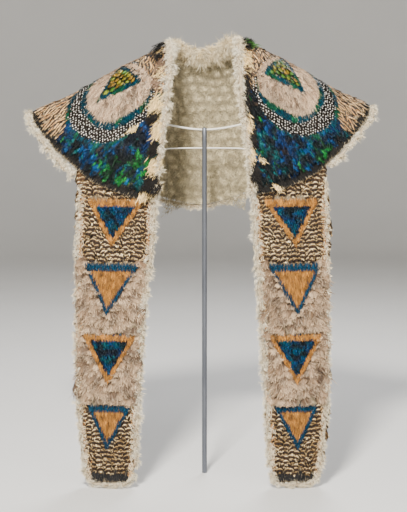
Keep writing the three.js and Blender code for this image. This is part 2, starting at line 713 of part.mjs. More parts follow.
function makeDown() {
  const COLLAR_END = 14; // run behind the shoulder line where the neck roll meets the fronts
  const collarLine = neckArc(NECK_HALF_WIDTH, NECK_DEPTH, 40).filter((p) => p.y < -COLLAR_END);
  const collarWide = (p) =>
    THREE.MathUtils.lerp(DOWN.neck, DOWN.collar, THREE.MathUtils.smoothstep(-p.y, 10, 70));
  const collar = beside(evenly(collarLine, 20), collarWide, 1, -GAP).map((p, i, all) => {
    const middle = 1 - Math.abs((2 * i) / (all.length - 1) - 1);
    const rise = THREE.MathUtils.smoothstep(middle, 0, 0.6);
    return onCape(
      p,
      THREE.MathUtils.lerp(DOWN.neck, DOWN.collar, rise),
      THREE.MathUtils.lerp(DOWN_THICK.front, DOWN_THICK.collar, rise),
    );
  });
  add("neck_down", downRoll(collar, 10), down);

  const hemPath = hemLine.filter((p) => p.y < 0 || Math.abs(p.x) > 236);
  const hemWide = (p) =>
    THREE.MathUtils.lerp(DOWN.backHem, DOWN.hem, THREE.MathUtils.smoothstep(Math.abs(p.x), 90, 250));
  const hem = beside(evenly(hemPath, 27), hemWide, -1);
  add("hem_down", downRoll(hem.map((p) => onCape(p, hemWide(p), DOWN_THICK.hem))), down);

  for (const { name, sign } of SIDES) {
    const capeSide = evenly([V2(NECK_HALF_WIDTH, 10 - COLLAR_END), ...frontEdge], 26);
    const capeWide = (p) => THREE.MathUtils.lerp(DOWN.neck, DOWN.front, Math.min(1, p.y / 200));
    const capeRoll = beside(mirrored(capeSide, sign), capeWide, -sign, 5 * GAP)
      .filter((p) => p.y < 315)
      .map((p) => onCape(p, capeWide(p), DOWN_THICK.front));
    const outline = lappetOutline(1);
    const cornerTop = LAPPET_END + LAPPET_CORNER + 4;
    const innerSide = outline.filter((p) => p.x < 160 && p.y >= cornerTop && p.y < 540);
    innerSide.sort((a, b) => b.y - a.y);
    innerSide.push(V2(edgeAt(cornerTop, "inner"), cornerTop));
    const innerRoll = beside(mirrored(evenly(innerSide, 30), sign), () => DOWN.inner, sign, 5 * GAP)
      .map((p) => onLappet(p, DOWN.inner, DOWN_THICK.front - 1));
    add(`front_down_${name}`, downRoll([...capeRoll, ...innerRoll]), down);

    const around = outline.filter((p) => p.y < cornerTop || (p.x > 160 && p.y < 560));
    around[0] = V2(edgeAt(cornerTop - 6, "inner"), cornerTop - 6);
    const endHeight = hemHeight(sign * 236) - 22;
    around.push(V2(edgeAt(endHeight, "outer"), endHeight));
    const ring = around.filter((p, i) => i === around.length - 1 || p.y < endHeight - 8);
    const bend = ring.findIndex((p) => p.x > 200 && p.y > cornerTop);
    const path = [...evenly(ring.slice(0, bend + 1), 14).slice(0, -1), ...evenly(ring.slice(bend), 30)];
    const roll = beside(mirrored(path, sign), () => DOWN.side, sign, 5 * GAP)
      .map((p) => onLappet(p, DOWN.side, DOWN_THICK.side));
    add(`lappet_down_${name}`, downRoll(roll), down);
  }
}

// Stand: a rod drilled for two cross wires, which run out and up to the padded arms.
function wireCurve(wire, sign) {
  const clear = LINING + GAP + GAP + 2 * ARM.radius - 0.4;
  const end = capeCloth.lift(sign * wire.armX, 0, -clear);
  const before = capeCloth.lift(sign * wire.armX, 0, -clear - 26);
  return [
    new THREE.Vector3(sign * wire.bendX, 0, wire.z + wire.rise),
    before.setY(0),
    end.setY(0),
  ];
}
function makeStand() {
  const ring = (radius) =>
    Array.from({ length: 6 }, (_, i) =>
      V2(radius * Math.cos((i * QUARTER) / 1.5), radius * Math.sin((i * QUARTER) / 1.5)),
    );
  const bored = [];
  for (const [name, wire] of [["upper_wire", UPPER_WIRE], ["lower_wire", LOWER_WIRE]]) {
    const left = wireCurve(wire, -1).reverse();
    const right = wireCurve(wire, 1);
    const middle = [-ROD_RADIUS - 3, ROD_RADIUS + 3].map((x) => new THREE.Vector3(x, 0, wire.z));
    const path = new THREE.CatmullRomCurve3([...left, ...middle, ...right], false, "catmullrom", 0.35);
    const section = new THREE.Shape(ring(wire.radius));
    add(name, new THREE.ExtrudeGeometry(section, { extrudePath: path, steps: 22 }), white);
    const bore = new THREE.CylinderGeometry(wire.radius + GAP, wire.radius + GAP, 3 * ROD_RADIUS, 12);
    bored.push(solidOf(bore.rotateZ(QUARTER).translate(0, 0, wire.z)));
  }
  const profile = [V2(0, 0), V2(ROD_RADIUS, 0), V2(ROD_RADIUS, ROD_TOP - 2), V2(3, ROD_TOP), V2(0, ROD_TOP)];
  let rod = solidOf(new THREE.LatheGeometry(profile, 18).rotateX(QUARTER));
  for (const bore of bored) rod = rod.subtract(bore);
  add("rod", geometryOf(rod), steel);
  for (const { name, sign } of SIDES) {
    const xs = CAPE_COLUMNS.filter((x) => x >= ARM.from && x <= ARM.to).map((x) => sign * x);
    const centre = -(LINING + GAP + GAP + ARM.radius);
    const taper = (i) => (i === 0 || i === xs.length - 1 ? 0.7 : 1);
    const stations = xs.map((x, i) => ({
      centre: capeCloth.lift(x, 0, centre).setY(0),
      normal: capeNormal(x, 0),
      wide: ARM.radius * taper(i),
      thick: ARM.radius * taper(i),
    }));
    add(`arm_${name}`, downRoll(stations, 12), padding);
  }
}

makeGround();
makeCapeFields();
makeLappets();
makeDown();
makeStand();

export default pelerine;
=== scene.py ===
import math
import bmesh
import bpy
import numpy as np
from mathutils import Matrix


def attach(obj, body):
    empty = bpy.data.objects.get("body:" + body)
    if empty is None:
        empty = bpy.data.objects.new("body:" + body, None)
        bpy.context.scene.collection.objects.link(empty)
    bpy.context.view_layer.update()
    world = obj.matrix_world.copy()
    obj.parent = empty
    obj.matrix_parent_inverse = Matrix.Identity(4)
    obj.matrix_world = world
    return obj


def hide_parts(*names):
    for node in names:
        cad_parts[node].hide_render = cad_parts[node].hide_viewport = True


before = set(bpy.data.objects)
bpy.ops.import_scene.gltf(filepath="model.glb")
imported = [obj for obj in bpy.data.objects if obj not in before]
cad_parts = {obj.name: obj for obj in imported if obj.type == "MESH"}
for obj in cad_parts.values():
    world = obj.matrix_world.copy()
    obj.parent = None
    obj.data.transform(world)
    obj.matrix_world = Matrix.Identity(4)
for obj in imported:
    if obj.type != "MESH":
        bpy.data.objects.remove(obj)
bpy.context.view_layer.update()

MM = 0.001

# Sizes of the cape, in millimetres, as in the solids
HALF_SPAN, RIDGE_TOP, RIDGE_FALL, TIP_RISE, NECK_ROUND = 333, 875.5, 0.6, 11, 80
SIDE_DROP, SIDE_SHIFT = 6.5, 7
FRONT_ROUND, BACK_ROUND, FRONT_ROUND_LOSS, BACK_ROUND_LOSS, ROUND_POWER = 86, 77, 46, 37, 2.5
NECK_HALF_WIDTH, NECK_DEPTH = 76, 90
GROUND, GAP, LINING = 2, 0.3, 2.5
HEM = [(333, 0), (326, 42), (301, 91), (275, 133), (247, 176), (216, 224), (175, 269), (138, 304),
       (97, 333)]
BACK_HEM_RUN = 383
FRONT_EDGE = [(76, 0), (76, 80), (80, 150), (88, 213), (97, 290), (97, 333)]

# Lappet: height, inner edge, outer edge
LAPPET = [(11, 137, 219), (101, 132, 230), (165, 129, 235), (230, 125, 237.5), (307, 119.5, 239),
          (365, 115.5, 238.5), (422, 110, 237.5), (487, 104, 236), (558, 100, 233), (700, 98, 231)]
LAPPET_END, LAPPET_CORNER, LAPPET_TUCK = 11, 22, 38
LAPPET_FOOT_Y, LAPPET_TURN, LAPPET_BOW = -110, 0.09, 3
UNDER_CAPE_LEFT, UNDER_CAPE_RIGHT = 1.6, 2.3
LEAN_BY, LEAN_FROM, LEAN_TO = 4, 480, 340
BARRED_END, PALE_END, END_BAND = 433, 161, 27

# Triangles down a lappet: top, inner end, outer end, apex x, apex z, bar, edge
TRIANGLES = [(544, 128, 208, 175, 479, 10, 7), (420, 134, 216, 182, 346, 10, 6),
             (286, 139, 218, 181, 214, 7, 6), (148, 149, 211, 183, 88, 9, 6)]

# Shoulder ornament on the flat cloth: distance from the centre, run from the shoulder line
BEHIND, ORNAMENT_HEAD_X = 0.55, 152
PALE_EDGE = [(152, 0), (106, 88), (103, 118), (110, 138), (139, 143), (175, 141), (201, 120), (220, 87),
             (224, 62), (215, 31), (198, 0)]
TEAL_EDGE = [(150, 0), (102, 100), (101, 130), (110, 148), (128, 156), (150, 158), (175, 153), (200, 133),
             (216, 110), (231, 80), (235, 55), (228, 28), (211, 0)]
SPOTTED_EDGE = [(148, 0), (100, 110), (98, 140), (109, 166), (128, 179), (154, 182), (188, 171), (222, 142),
                (249, 103), (257, 70), (252, 42), (241, 18), (227, 0)]
OUTER_EDGE = [(146, 0), (100, 116), (100, 150), (120, 177), (154, 186), (191, 178), (227, 149), (256, 107),
              (265, 70), (260, 40), (249, 16), (235, 0)]
SCALE_TRIANGLE, SCALE_BORDER = [(154, 3), (113, 92), (198, 83)], 8
LEFT_OUT = 7  # the left triangle lies this much nearer the tip
BREAST = [(40, 755), (150, 755), (220, 740), (259, 712), (296, 640), (320, 520), (40, 500)]
BACK_BREAST_HALF_WIDTH, BACK_BREAST_HEIGHT = 215, 168
BAND_TIP, BAND_FOOT = 6, 12

# Half widths and half thicknesses of the down edging, in millimetres
DOWN = {"collar": 17, "neck": 11.5, "front_top": 10.5, "front_low": 7, "inner": 6, "side": 5.2, "hem": 6,
        "back_hem": 5}
DOWN_THICK = {"collar": 14, "neck": 9, "front": 8.5, "side": 7, "hem": 6}
SIDE_NARROWS = 1.3  # how much slimmer a lappet's side edging is at its top
DOWN_LAP = 4 * GAP  # how far the lappets' edging lies over the cloth
DOWN_STEP = 4  # spacing of the rings of a roll
DOWN_CORE = 0.55  # the roll's closed core, as a share of its whole width

# Stand
ROD_RADIUS, ROD_TOP = 5, 695
# Wires: radius, height at the rod, x where they reach the arms, x of the bend, rise to it
UPPER_WIRE = (1.9, 691, 132, 84, 14)
LOWER_WIRE = (1.4, 654, 226, 96, -1)
ARM_RADIUS, ARM_FROM, ARM_END = 11, 112, 273
QUARTER = math.pi / 2

# Lining: depth of its lumps, and height of a row of them
LUMP_DEPTH, LUMP_ROW = 3.2, 19

# Lowest and highest corner of the rectangles that feathers are set out over
CAPE_REACH = ((-345, -400), (345, 350))
LAPPET_REACH = ((90, 8), (245, 620))
THROAT_REACH = ((-84, -378), (84, -76))
SEEDS = {"cape": 100, "lappets": 200, "neck_down": 301, "hem_down": 302, "front_down": 310,
         "lappet_down": 320, "tufts": 500, "side_tufts": 520, "lining_fuzz": 600}
SIDES = (("left", -1), ("right", 1))

# Camera: focal length and image height in the photograph's pixels, place in metres, tilt in degrees
FOCAL_LENGTH, IMAGE_HEIGHT, SENSOR = 1332.3, 512, 36
CAMERA_PLACE, CAMERA_TILT = (-0.00096, -2.6505, 0.7304), 2.992


# The two charts: from the flat cloth to its place in space

def series(x, first, power, divisor):
    """Power series of the sine integral and of its cosine partner, term by term."""
    term, total = first, first / divisor
    for k in range(power, power + 14, 2):
        term = -term * x * x / (k * (k + 1))
        total = total + term / (divisor + k - power + 2)
    return total


def sine_integral(x):
    """Integral of sin(t) / t from 0 to x."""
    return series(x, x, 2, 1)


def cosine_loss(x):
    """Integral of (1 - cos(t)) / t from 0 to x."""
    return series(x, x * x / 2, 3, 2)


def smoothstep(x, low, high):
    """Rises from 0 at low to 1 at high as 3t^2 - 2t^3."""
    t = np.clip((x - low) / (high - low), 0, 1)
    return t * t * (3 - 2 * t)


def between(low, high, share):
    """The value that lies a share of the way from low to high."""
    return low + (high - low) * share


def ridge(x):
    """Height of the shoulder line: falls by RIDGE_FALL a mm, rounded at the neck, lifted at the
    tips."""
    spread = np.hypot(x, NECK_ROUND) - NECK_ROUND
    return RIDGE_TOP - RIDGE_FALL * spread + TIP_RISE * smoothstep(np.abs(x), 250, HALF_SPAN)


def side_lift(x):
    """The right shoulder sits higher and the left one lower: a tanh of x."""
    return SIDE_DROP * np.tanh(x / NECK_ROUND)


def front_round(x):
    """Radius of the turn over the shoulder in front, less by a power of x towards the tips."""
    return FRONT_ROUND - FRONT_ROUND_LOSS * (np.abs(x) / HALF_SPAN) ** ROUND_POWER


def back_round(x):
    """The same radius behind."""
    return BACK_ROUND - BACK_ROUND_LOSS * (np.abs(x) / HALF_SPAN) ** ROUND_POWER


def reach(run, radius):
    """How far out the cloth has gone when its slope turns upright as 1 - exp(-run / radius)."""
    return radius * (sine_integral(QUARTER) - sine_integral(QUARTER * np.exp(-run / radius)))


def drop(run, radius):
    """How far down the same cloth has gone."""
    return run - radius * (cosine_loss(QUARTER) - cosine_loss(QUARTER * np.exp(-run / radius)))


def run_at(x, z):
    """Run of the point of the front that shows at height z."""
    return ridge(x) + front_round(x) * cosine_loss(QUARTER) - z


def cape_point(x, run):
    """Inner face of the cape's cloth: x across, run down the cloth from the shoulder line."""
    radius = np.where(run >= 0, front_round(x), back_round(x))
    out = reach(np.abs(run), radius)
    return np.stack([x - SIDE_SHIFT * (x / HALF_SPAN) ** 2, np.where(run >= 0, -out, out),
                     ridge(x) + side_lift(x) - drop(np.abs(run), radius)], axis=-1)


def spaced(line, count):
    """The line cut into count equal lengths."""
    length = np.r_[0, np.cumsum(np.linalg.norm(np.diff(line, axis=0), axis=1))]
    at = np.linspace(0, length[-1], count + 1)
    return np.column_stack([np.interp(at, length, column) for column in line.T])


def evenly(line, step):
    """The line cut into equal lengths of about the step."""
    line = np.asarray(line, float)
    length = np.linalg.norm(np.diff(line, axis=0), axis=1).sum()
    return spaced(line, max(2, int(round(length / step))))


def smooth_line(rows, count):
    """Catmull-Rom curve through the rows, cut into equal lengths."""
    p = np.asarray(rows, float)
    q = np.vstack([p[:1], p, p[-1:]])
    t = np.linspace(0, 1, 24, endpoint=False)[None, :, None]
    a, b, c, d = (q[i:len(p) - 1 + i, None, :] for i in range(4))
    curve = 0.5 * (2 * b + (c - a) * t + (2 * a - 5 * b + 4 * c - d) * t ** 2
                   + (3 * b - a - 3 * c + d) * t ** 3)
    return spaced(np.vstack([curve.reshape(-1, p.shape[1]), p[-1:]]), count)


front_hem = smooth_line(HEM, 60)
back_hem_half = smooth_line([(x, -run) for x, run in HEM] + [(0, -BACK_HEM_RUN)]
                            + [(-x, -run) for x, run in HEM[::-1]], 160)
front_edge = smooth_line(FRONT_EDGE, 40)


def hem_run(x):
    """Run of the cape's front hem at x."""
    return np.interp(np.abs(x), front_hem[::-1, 0], front_hem[::-1, 1])


def hem_height(x):
    """Height at which the cape's front hem really hangs at x."""
    return cape_point(x, hem_run(x))[..., 2]


def lappet_point(x, z):
    """Inner face of a lappet's cloth: x across, z its height. Its top follows the cape's lining."""
    hem = hem_height(x)
    run = run_at(x, np.maximum(z, hem) - side_lift(x))
    under = LINING + GAP + np.where(x < 0, UNDER_CAPE_LEFT, UNDER_CAPE_RIGHT) + GROUND
    top = -reach(run, front_round(x)) + under
    heights, inner_edges, outer_edges = np.array(LAPPET, float).T
    inner, outer = np.interp(z, heights, inner_edges), np.interp(z, heights, outer_edges)
    across = (np.abs(x) - inner) / (outer - inner)
    fallen = smoothstep(hem - z, 20, hem - 130)
    foot = LAPPET_FOOT_Y + LAPPET_TURN * (np.abs(x) - inner)
    bow = LAPPET_BOW * fallen * (1 - (2 * across - 1) ** 2)
    leaning = smoothstep(-z, -LEAN_FROM, -LEAN_TO)
    return np.stack([x - LEAN_BY * leaning - SIDE_SHIFT * (x / HALF_SPAN) ** 2 * (1 - leaning),
                     top + (foot - top) * fallen - bow, z + 0 * x], axis=-1)


def unit(v):
    """The same directions at length 1."""
    return v / np.maximum(np.linalg.norm(v, axis=-1, keepdims=True), 1e-9)


def along_line(line):
    """Unit direction of a line at each of its points, from its two neighbours."""
    return unit(np.vstack([line[1:2] - line[:1], line[2:] - line[:-2], line[-1:] - line[-2:-1]]))


def above(point, a, b, height, turn):
    """Point of a chart moved out along its normal, the cross product of its two slopes."""
    across = point(a + 1, b) - point(a - 1, b)
    along = point(a, b + 1) - point(a, b - 1)
    return point(a, b) + turn * unit(np.cross(across, along)) * np.asarray(height)[..., None]


def on_cape(x, run, height):
    """Place in space of a point of the cape's pattern, at a height above the inner face of its cloth."""
    return above(cape_point, np.asarray(x, float), np.asarray(run, float), height, -1)


def on_lappet(x, z, height):
    """Place in space of a point of a lappet's pattern, at a height above the same face."""
    return above(lappet_point, np.asarray(x, float), np.asarray(z, float), height, 1)


# Outlines of the feather fields on the flat cloth

def inside(x, y, outline):
    """True where a point has an odd number of the outline's edges to its right."""
    p = np.asarray(outline, float)
    q = np.roll(p, -1, axis=0)
    x, y = np.asarray(x)[..., None], np.asarray(y)[..., None]
    crosses = (p[:, 1] > y) != (q[:, 1] > y)
    rise = np.where(q[:, 1] == p[:, 1], 1e-9, q[:, 1] - p[:, 1])
    return (crosses & (x < p[:, 0] + (y - p[:, 1]) * (q[:, 0] - p[:, 0]) / rise)).sum(-1) % 2 == 1


def distance_to(x, y, line):
    """Distance to the nearest of a line's straight pieces."""
    p, q = np.asarray(line, float)[:-1], np.asarray(line, float)[1:]
    x, y = np.asarray(x)[..., None], np.asarray(y)[..., None]
    d = q - p
    t = np.clip(((x - p[:, 0]) * d[:, 0] + (y - p[:, 1]) * d[:, 1]) / (d ** 2).sum(1), 0, 1)
    return np.hypot(x - p[:, 0] - t * d[:, 0], y - p[:, 1] - t * d[:, 1]).min(-1)


def grown(corners, distance):
    """A polygon with every side moved outwards by the distance."""
    p = np.asarray(corners, float)
    q = np.roll(p, -1, axis=0)
    area = (p[:, 0] * q[:, 1] - q[:, 0] * p[:, 1]).sum()
    after = unit(q - p)
    before = np.roll(after, 1, axis=0)
    corner = unit(np.stack([before[:, 1] + after[:, 1], -before[:, 0] - after[:, 0]], axis=1))
    stretch = np.maximum(0.35, corner[:, 0] * after[:, 1] - corner[:, 1] * after[:, 0])
    return p + corner * (np.sign(area) * distance / stretch)[:, None]


def ornament(rows):
    """Outline of one ring of the shoulder ornament, closed behind the shoulder line by the same
    rows at a share of their run."""
    rows = [tuple(row) for row in rows]
    behind = [(x, -BEHIND * run) for x, run in rows[1:-1]][::-1]
    return smooth_line(rows + behind + rows[:1], 90)[:-1]


hem_line = np.vstack([front_hem[::-1], back_hem_half[1:-1], front_hem * (-1, 1)])
neck_angle = np.linspace(0, math.pi, 60)
neck_arc = np.stack([NECK_HALF_WIDTH * np.cos(neck_angle), -NECK_DEPTH * np.sin(neck_angle)], axis=1)
whole_outline = np.vstack([hem_line, (front_edge * (-1, 1))[::-1], neck_arc[::-1][1:-1], front_edge])
scale_triangle = np.array(SCALE_TRIANGLE, float)
inner_triangle = grown(scale_triangle, -SCALE_BORDER)
breast_outline = [(x, float(run_at(x, z))) for x, z in BREAST]
rings = [ornament(rows) for rows in (PALE_EDGE, TEAL_EDGE, SPOTTED_EDGE, OUTER_EDGE)]


def band_width(run):
    """Width of the black band: grows with the run, up to the foot of the fronts."""
    return between(BAND_TIP, BAND_FOOT, np.minimum(1, np.abs(run) / 300))


def cape_field(x, run):
    """Name of the feather field at each point of the cape, the first that holds it winning."""
    far = np.abs(x)
    back = ((x / BACK_BREAST_HALF_WIDTH) ** 2
            + ((run + BACK_HEM_RUN + 12) / (BACK_BREAST_HEIGHT + 12)) ** 2 < 1) & (run < 0)
    choices = [("none", ~inside(x, run, whole_outline)),
               ("hem_band", distance_to(x, run, hem_line) < band_width(run)),
               ("scale_triangle", inside(far - LEFT_OUT * (x < 0), run, inner_triangle)),
               ("triangle_border", inside(far - LEFT_OUT * (x < 0), run, scale_triangle)),
               ("pale_oval", inside(far, run, rings[0])),
               ("teal_crescent", inside(far, run, rings[1])),
               ("spotted_crescent", inside(far, run, rings[2])),
               ("outer_crescent", inside(far, run, rings[3])),
               ("breast_field", inside(far, run, breast_outline)),
               ("breast_field_back", back)]
    return np.select([test for _, test in choices], [name for name, _ in choices], "brown_field")


def lappet_edges(z):
    """Inner and outer edge of a lappet at height z, between the rows of its table."""
    heights, inner, outer = np.array(LAPPET, float).T
    return np.interp(z, heights, inner), np.interp(z, heights, outer)


def lappet_outline():
    """Outline of a lappet on its own pattern (x, z), from its inner top edge round its rounded end."""
    top = LAPPET_END + LAPPET_CORNER
    heights = np.linspace(top, 520, 30)
    inner, outer = lappet_edges(heights)
    angle = np.linspace(0, QUARTER, 7)
    low = LAPPET_END + LAPPET_CORNER * (1 - np.sin(angle))
    in_x = inner[0] + LAPPET_CORNER * (1 - np.cos(angle))
    out_x = outer[0] - LAPPET_CORNER * (1 - np.cos(angle))
    return np.vstack([np.column_stack([inner, heights])[::-1][:-1], np.column_stack([in_x, low]),
                      np.column_stack([out_x, low])[::-1], np.column_stack([outer, heights])[1:]])


tile_shapes = []
for top, inner, outer, apex_x, apex_z, bar, edge in TRIANGLES:
    tile = np.array([(inner, top), (outer, top), (apex_x, apex_z)], float)
    frame_shape = grown(tile, edge)
    frame_shape[:2, 1] = top + bar
    tile_shapes.append((tile, frame_shape))


def lappet_field(x, z):
    """Name of the feather field at each point of a lappet."""
    far = np.abs(x)
    inner, outer = lappet_edges(z)
    choices = [("none", (far < inner) | (far > outer) | (z < LAPPET_END))]
    for i, (tile, frame_shape) in enumerate(tile_shapes):
        choices.append((f"triangle_{i + 1}", inside(far, z, tile)))
        choices.append((f"border_{i + 1}", inside(far, z, frame_shape)))
    choices += [("barred_upper", z > BARRED_END), ("pale_field", z > PALE_END),
                ("barred_lower", z > END_BAND)]
    return np.select([test for _, test in choices], [name for name, _ in choices], "end_band")


# Meshes

def joined(points, faces, count=1):
    """Vertices, loops and loop totals of a template repeated count times, its faces being arrays
    of equal-sided polygons."""
    each = len(points) // count
    shift = (np.arange(count) * each)[:, None, None]
    loops = [(np.asarray(f)[None] + shift).reshape(-1) for f in faces]
    totals = [np.full(count * len(f), len(f[0])) for f in faces]
    return np.concatenate(loops), np.concatenate(totals)


def turned_over(loops, totals):
    """Every face with its corners in the opposite order."""
    starts = np.repeat(np.cumsum(totals) - totals, totals)
    place = np.arange(len(loops)) - starts
    return loops[starts + np.repeat(totals, totals) - 1 - place]


def tube_faces(rings, sides):
    """Loops and loop totals of a closed tube: quads between its rings, and a cap at each end."""
    grid = np.arange(rings * sides).reshape(rings, sides)
    turn = np.roll(grid, -1, axis=1)
    quads = np.stack([grid[:-1], turn[:-1], turn[1:], grid[1:]], axis=-1).reshape(-1, 4)
    loops = np.concatenate([quads.ravel(), grid[0][::-1], grid[-1]])
    return loops, np.concatenate([np.full(len(quads), 4), [sides, sides]])


def volume(points, loops, totals):
    """Signed volume: a fan of triangles of every face against the origin."""
    starts = np.cumsum(totals) - totals
    total = 0.0
    for k in range(1, totals.max() - 1):
        has = totals > k + 1
        a, b, c = (points[loops[starts[has] + i]] for i in (0, k, k + 1))
        total += np.einsum("ij,ij->", a, np.cross(b, c))
    return total


def mesh_piece(name, points, loops, totals, material, slot, nodes, uv=None, tint=None, chance=None,
               closed=True):
    """A mesh object from whole arrays in millimetres. A closed one that is inside out is turned."""
    points = np.asarray(points, float).reshape(-1, 3)
    if closed and volume(points - points.mean(0), loops, totals) < 0:
        loops = turned_over(loops, totals)
    mesh = bpy.data.meshes.new(name)
    mesh.vertices.add(len(points))
    mesh.vertices.foreach_set("co", (points * MM).ravel())
    mesh.loops.add(len(loops))
    mesh.loops.foreach_set("vertex_index", loops.astype(np.int32))
    mesh.polygons.add(len(totals))
    mesh.polygons.foreach_set("loop_start", (np.cumsum(totals) - totals).astype(np.int32))
    mesh.polygons.foreach_set("loop_total", totals.astype(np.int32))
    mesh.update(calc_edges=True)
    mesh.shade_smooth()
    if uv is not None:
        layer = mesh.uv_layers.new(name="vane")
        layer.data.foreach_set("uv", np.asarray(uv, float).reshape(-1, 2)[loops].ravel())
    if tint is not None:
        colour = mesh.attributes.new("tint", "FLOAT_COLOR", "POINT")
        full = np.ones((len(points), 4))
        full[:, :3] = np.asarray(tint).reshape(-1, 3)
        colour.data.foreach_set("color", full.ravel())
    if chance is not None:
        share = mesh.attributes.new("chance", "FLOAT", "POINT")
        share.data.foreach_set("value", np.asarray(chance, float).ravel())
    mesh.materials.append(material)
    piece = bpy.data.objects.new(name, mesh)
    bpy.context.scene.collection.objects.link(piece)
    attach(piece, "root")
    if nodes:
        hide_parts(*nodes)
    return piece


def feather_form(rows, widths, columns, droop, tip_barbs, side_barbs, kite, ragged=0.0, narrow_barb=1.0):
    """Flat form of one feather: s along it, w across it, and its width at each point. A closed lens
    of faces with a round tip, and loose barbs, each a kite of two triangles, that stand out past
    its tip and its sides. The rim of the lens droops by a share of the width squared, from a place
    on. Tip barbs have a number and a spread, then for root and end a place along, its loss with
    the width squared and a share of the width. Side barbs have a number, a first and a last place,
    a share of the width at the root, a reach and a share at the end."""
    rows, widths = np.array(rows), np.array(widths)
    s = rows[:, None] + np.zeros((1, columns))
    w = np.linspace(-1, 1, columns)[None] + np.zeros((len(rows), 1))
    s = s - droop[0] * w ** 2 * smoothstep(s, droop[1], 1)
    s[-1] += ragged * (np.arange(columns) % 2)
    grid = np.arange(s.size).reshape(s.shape)
    top = np.stack([grid[:-1, :-1], grid[:-1, 1:], grid[1:, 1:], grid[1:, :-1]], axis=-1).reshape(-1, 4)
    under = np.stack([grid[:-1, 0], grid[1:, 0], grid[1:, -1], grid[:-1, -1]], axis=-1)
    many, spread, root, end = tip_barbs
    tip_w = np.linspace(-spread, spread, many)
    many, first, last, root_share, reach, end_share = side_barbs
    side_s = np.tile(np.linspace(first, last, many), 2)
    side_w = np.repeat((-1.0, 1.0), many)
    root_s = np.concatenate([root[0] - root[1] * tip_w ** 2, side_s])
    root_w = np.concatenate([tip_w * root[2], side_w * root_share])
    end_s = np.concatenate([end[0] - end[1] * tip_w ** 2, side_s + reach])
    end_w = np.concatenate([tip_w * end[2], side_w * end_share])
    middle_s, middle_w = 0.5 * (root_s + end_s), 0.5 * (root_w + end_w)
    kite_s = np.stack([root_s, middle_s + kite[0], middle_s - kite[0], end_s], axis=1)
    kite_w = np.stack([root_w, middle_w - kite[1], middle_w + kite[1], end_w], axis=1)
    kites = s.size + np.arange(4 * len(root_s)).reshape(-1, 4)[:, (0, 1, 3, 2)]
    loose = np.concatenate([np.zeros(s.size), np.tile((0, 1, 1, 2.0), len(root_s))])
    narrow = np.concatenate([(widths[:, None] + 0 * s).ravel(), np.full(kite_s.size, narrow_barb)])
    return (np.concatenate([s.ravel(), kite_s.ravel()]), np.concatenate([w.ravel(), kite_w.ravel()]),
            narrow, [top, under, grid[:1][:, ::-1], grid[-1:], kites], loose)


def blade(columns, barbs_at_tip, barbs_at_side):
    """Firm narrow feather with a few loose barbs."""
    return feather_form(rows=(0, 0.36, 0.64, 0.84, 0.97), widths=(0.42, 0.86, 1.0, 0.84, 0.46),
                        columns=columns, droop=(0.07, 0.5),
                        tip_barbs=(barbs_at_tip, 0.75, (0.86, 0.16, 0.72), (1.10, 0.12, 0.95)),
                        side_barbs=(barbs_at_side, 0.5, 0.8, 0.86, 0.16, 1.22), kite=(0.025, 0.10))


BLADE_BEND = 0.05  # usual bend of a blade to one side, as a share of its length
SMALL_BLADE = blade(3, 5, 1)
FULL_BLADE = blade(5, 8, 3)

# Wide soft feather with a full round tip, a ragged rim and many fine loose barbs
PETAL = feather_form(rows=(0, 0.3, 0.55, 0.76, 0.92, 1.0), widths=(0.35, 0.76, 1.0, 0.96, 0.66, 0.36),
                     columns=5, droop=(0.16, 0.4),
                     tip_barbs=(8, 0.9, (0.90, 0.18, 0.8), (1.16, 0.24, 1.05)),
                     side_barbs=(4, 0.4, 0.8, 0.9, 0.2, 1.25), kite=(0.0, 0.06), ragged=0.035,
                     narrow_barb=0.8)


def coat(name, chart, marks, heading, length, width, material, slot, nodes, tints, random, rise, base,
         form, cup, roll, mark, full, on_cloth):
    """Feathers laid like shingles: each is a blade along its heading whose mark, at a share of its
    length, lies on a point of the field. It lifts off the cloth towards its tip. Its pattern is
    laid out from its own tip, or over the whole cloth."""
    s, w, narrow, faces, loose = form
    count = len(marks)
    length = (np.asarray(length) * random.uniform(0.82, 1.15, count))[:, None]
    half = (width / 2 * random.uniform(0.85, 1.15, count))[:, None]
    tilt = random.normal(0, roll, count)[:, None]
    side = random.normal(0, BLADE_BEND, count)[:, None]
    lift = rise * random.uniform(0.7, 1.25, count)[:, None]
    da, db = heading[:, :1], heading[:, 1:]
    along = (s - mark) * length + loose * random.normal(0, 0.03, (count, len(s))) * length
    stray = loose * random.normal(0, 0.06, (count, len(s))) * half
    across = w * narrow * half + side * s ** 2 * length + stray
    a = marks[:, :1] + along * da - across * db
    b = marks[:, 1:] + along * db + across * da
    crown = cup * half * np.clip(1 - w ** 2, 0, 1) * np.clip(full * (1.05 - s), 0, 1)
    lean = np.clip(tilt * w * narrow * half, -lift * s - 0.1, 3)
    height = GROUND + base + lift * s ** 1.15 + crown + lean
    height = height + loose * random.uniform(0.1, 0.6, (count, len(s)))
    points = chart(a, b, height)
    loops, totals = joined(points.reshape(-1, 3), faces, count)
    uv = np.stack([a, b] if on_cloth else [w * narrow * half, (1 - s) * length], axis=-1)
    tint = np.repeat(tints[:, None], len(s), axis=1)
    chance = np.repeat(random.random(count)[:, None], len(s), axis=1)
    return mesh_piece(name, points, loops, totals, material, slot, nodes, uv, tint, chance)


def ribbons(paths, width, lie):
    """Slim barbs: a ribbon of two triangles and a quad along root, two bends and tip, its width
    across its way and across the direction in which it lies."""
    along = unit(paths[:, 3] - paths[:, 0])
    side = unit(np.cross(along, lie)) * width[:, None] / 2
    p, q = paths[:, 1], paths[:, 2]
    points = np.stack([paths[:, 0], p - side, p + side, q - side * 0.8, q + side * 0.8, paths[:, 3]],
                      axis=1)
    return points, [np.array([(0, 2, 1), (3, 4, 5)]), np.array([(1, 2, 4, 3)])]


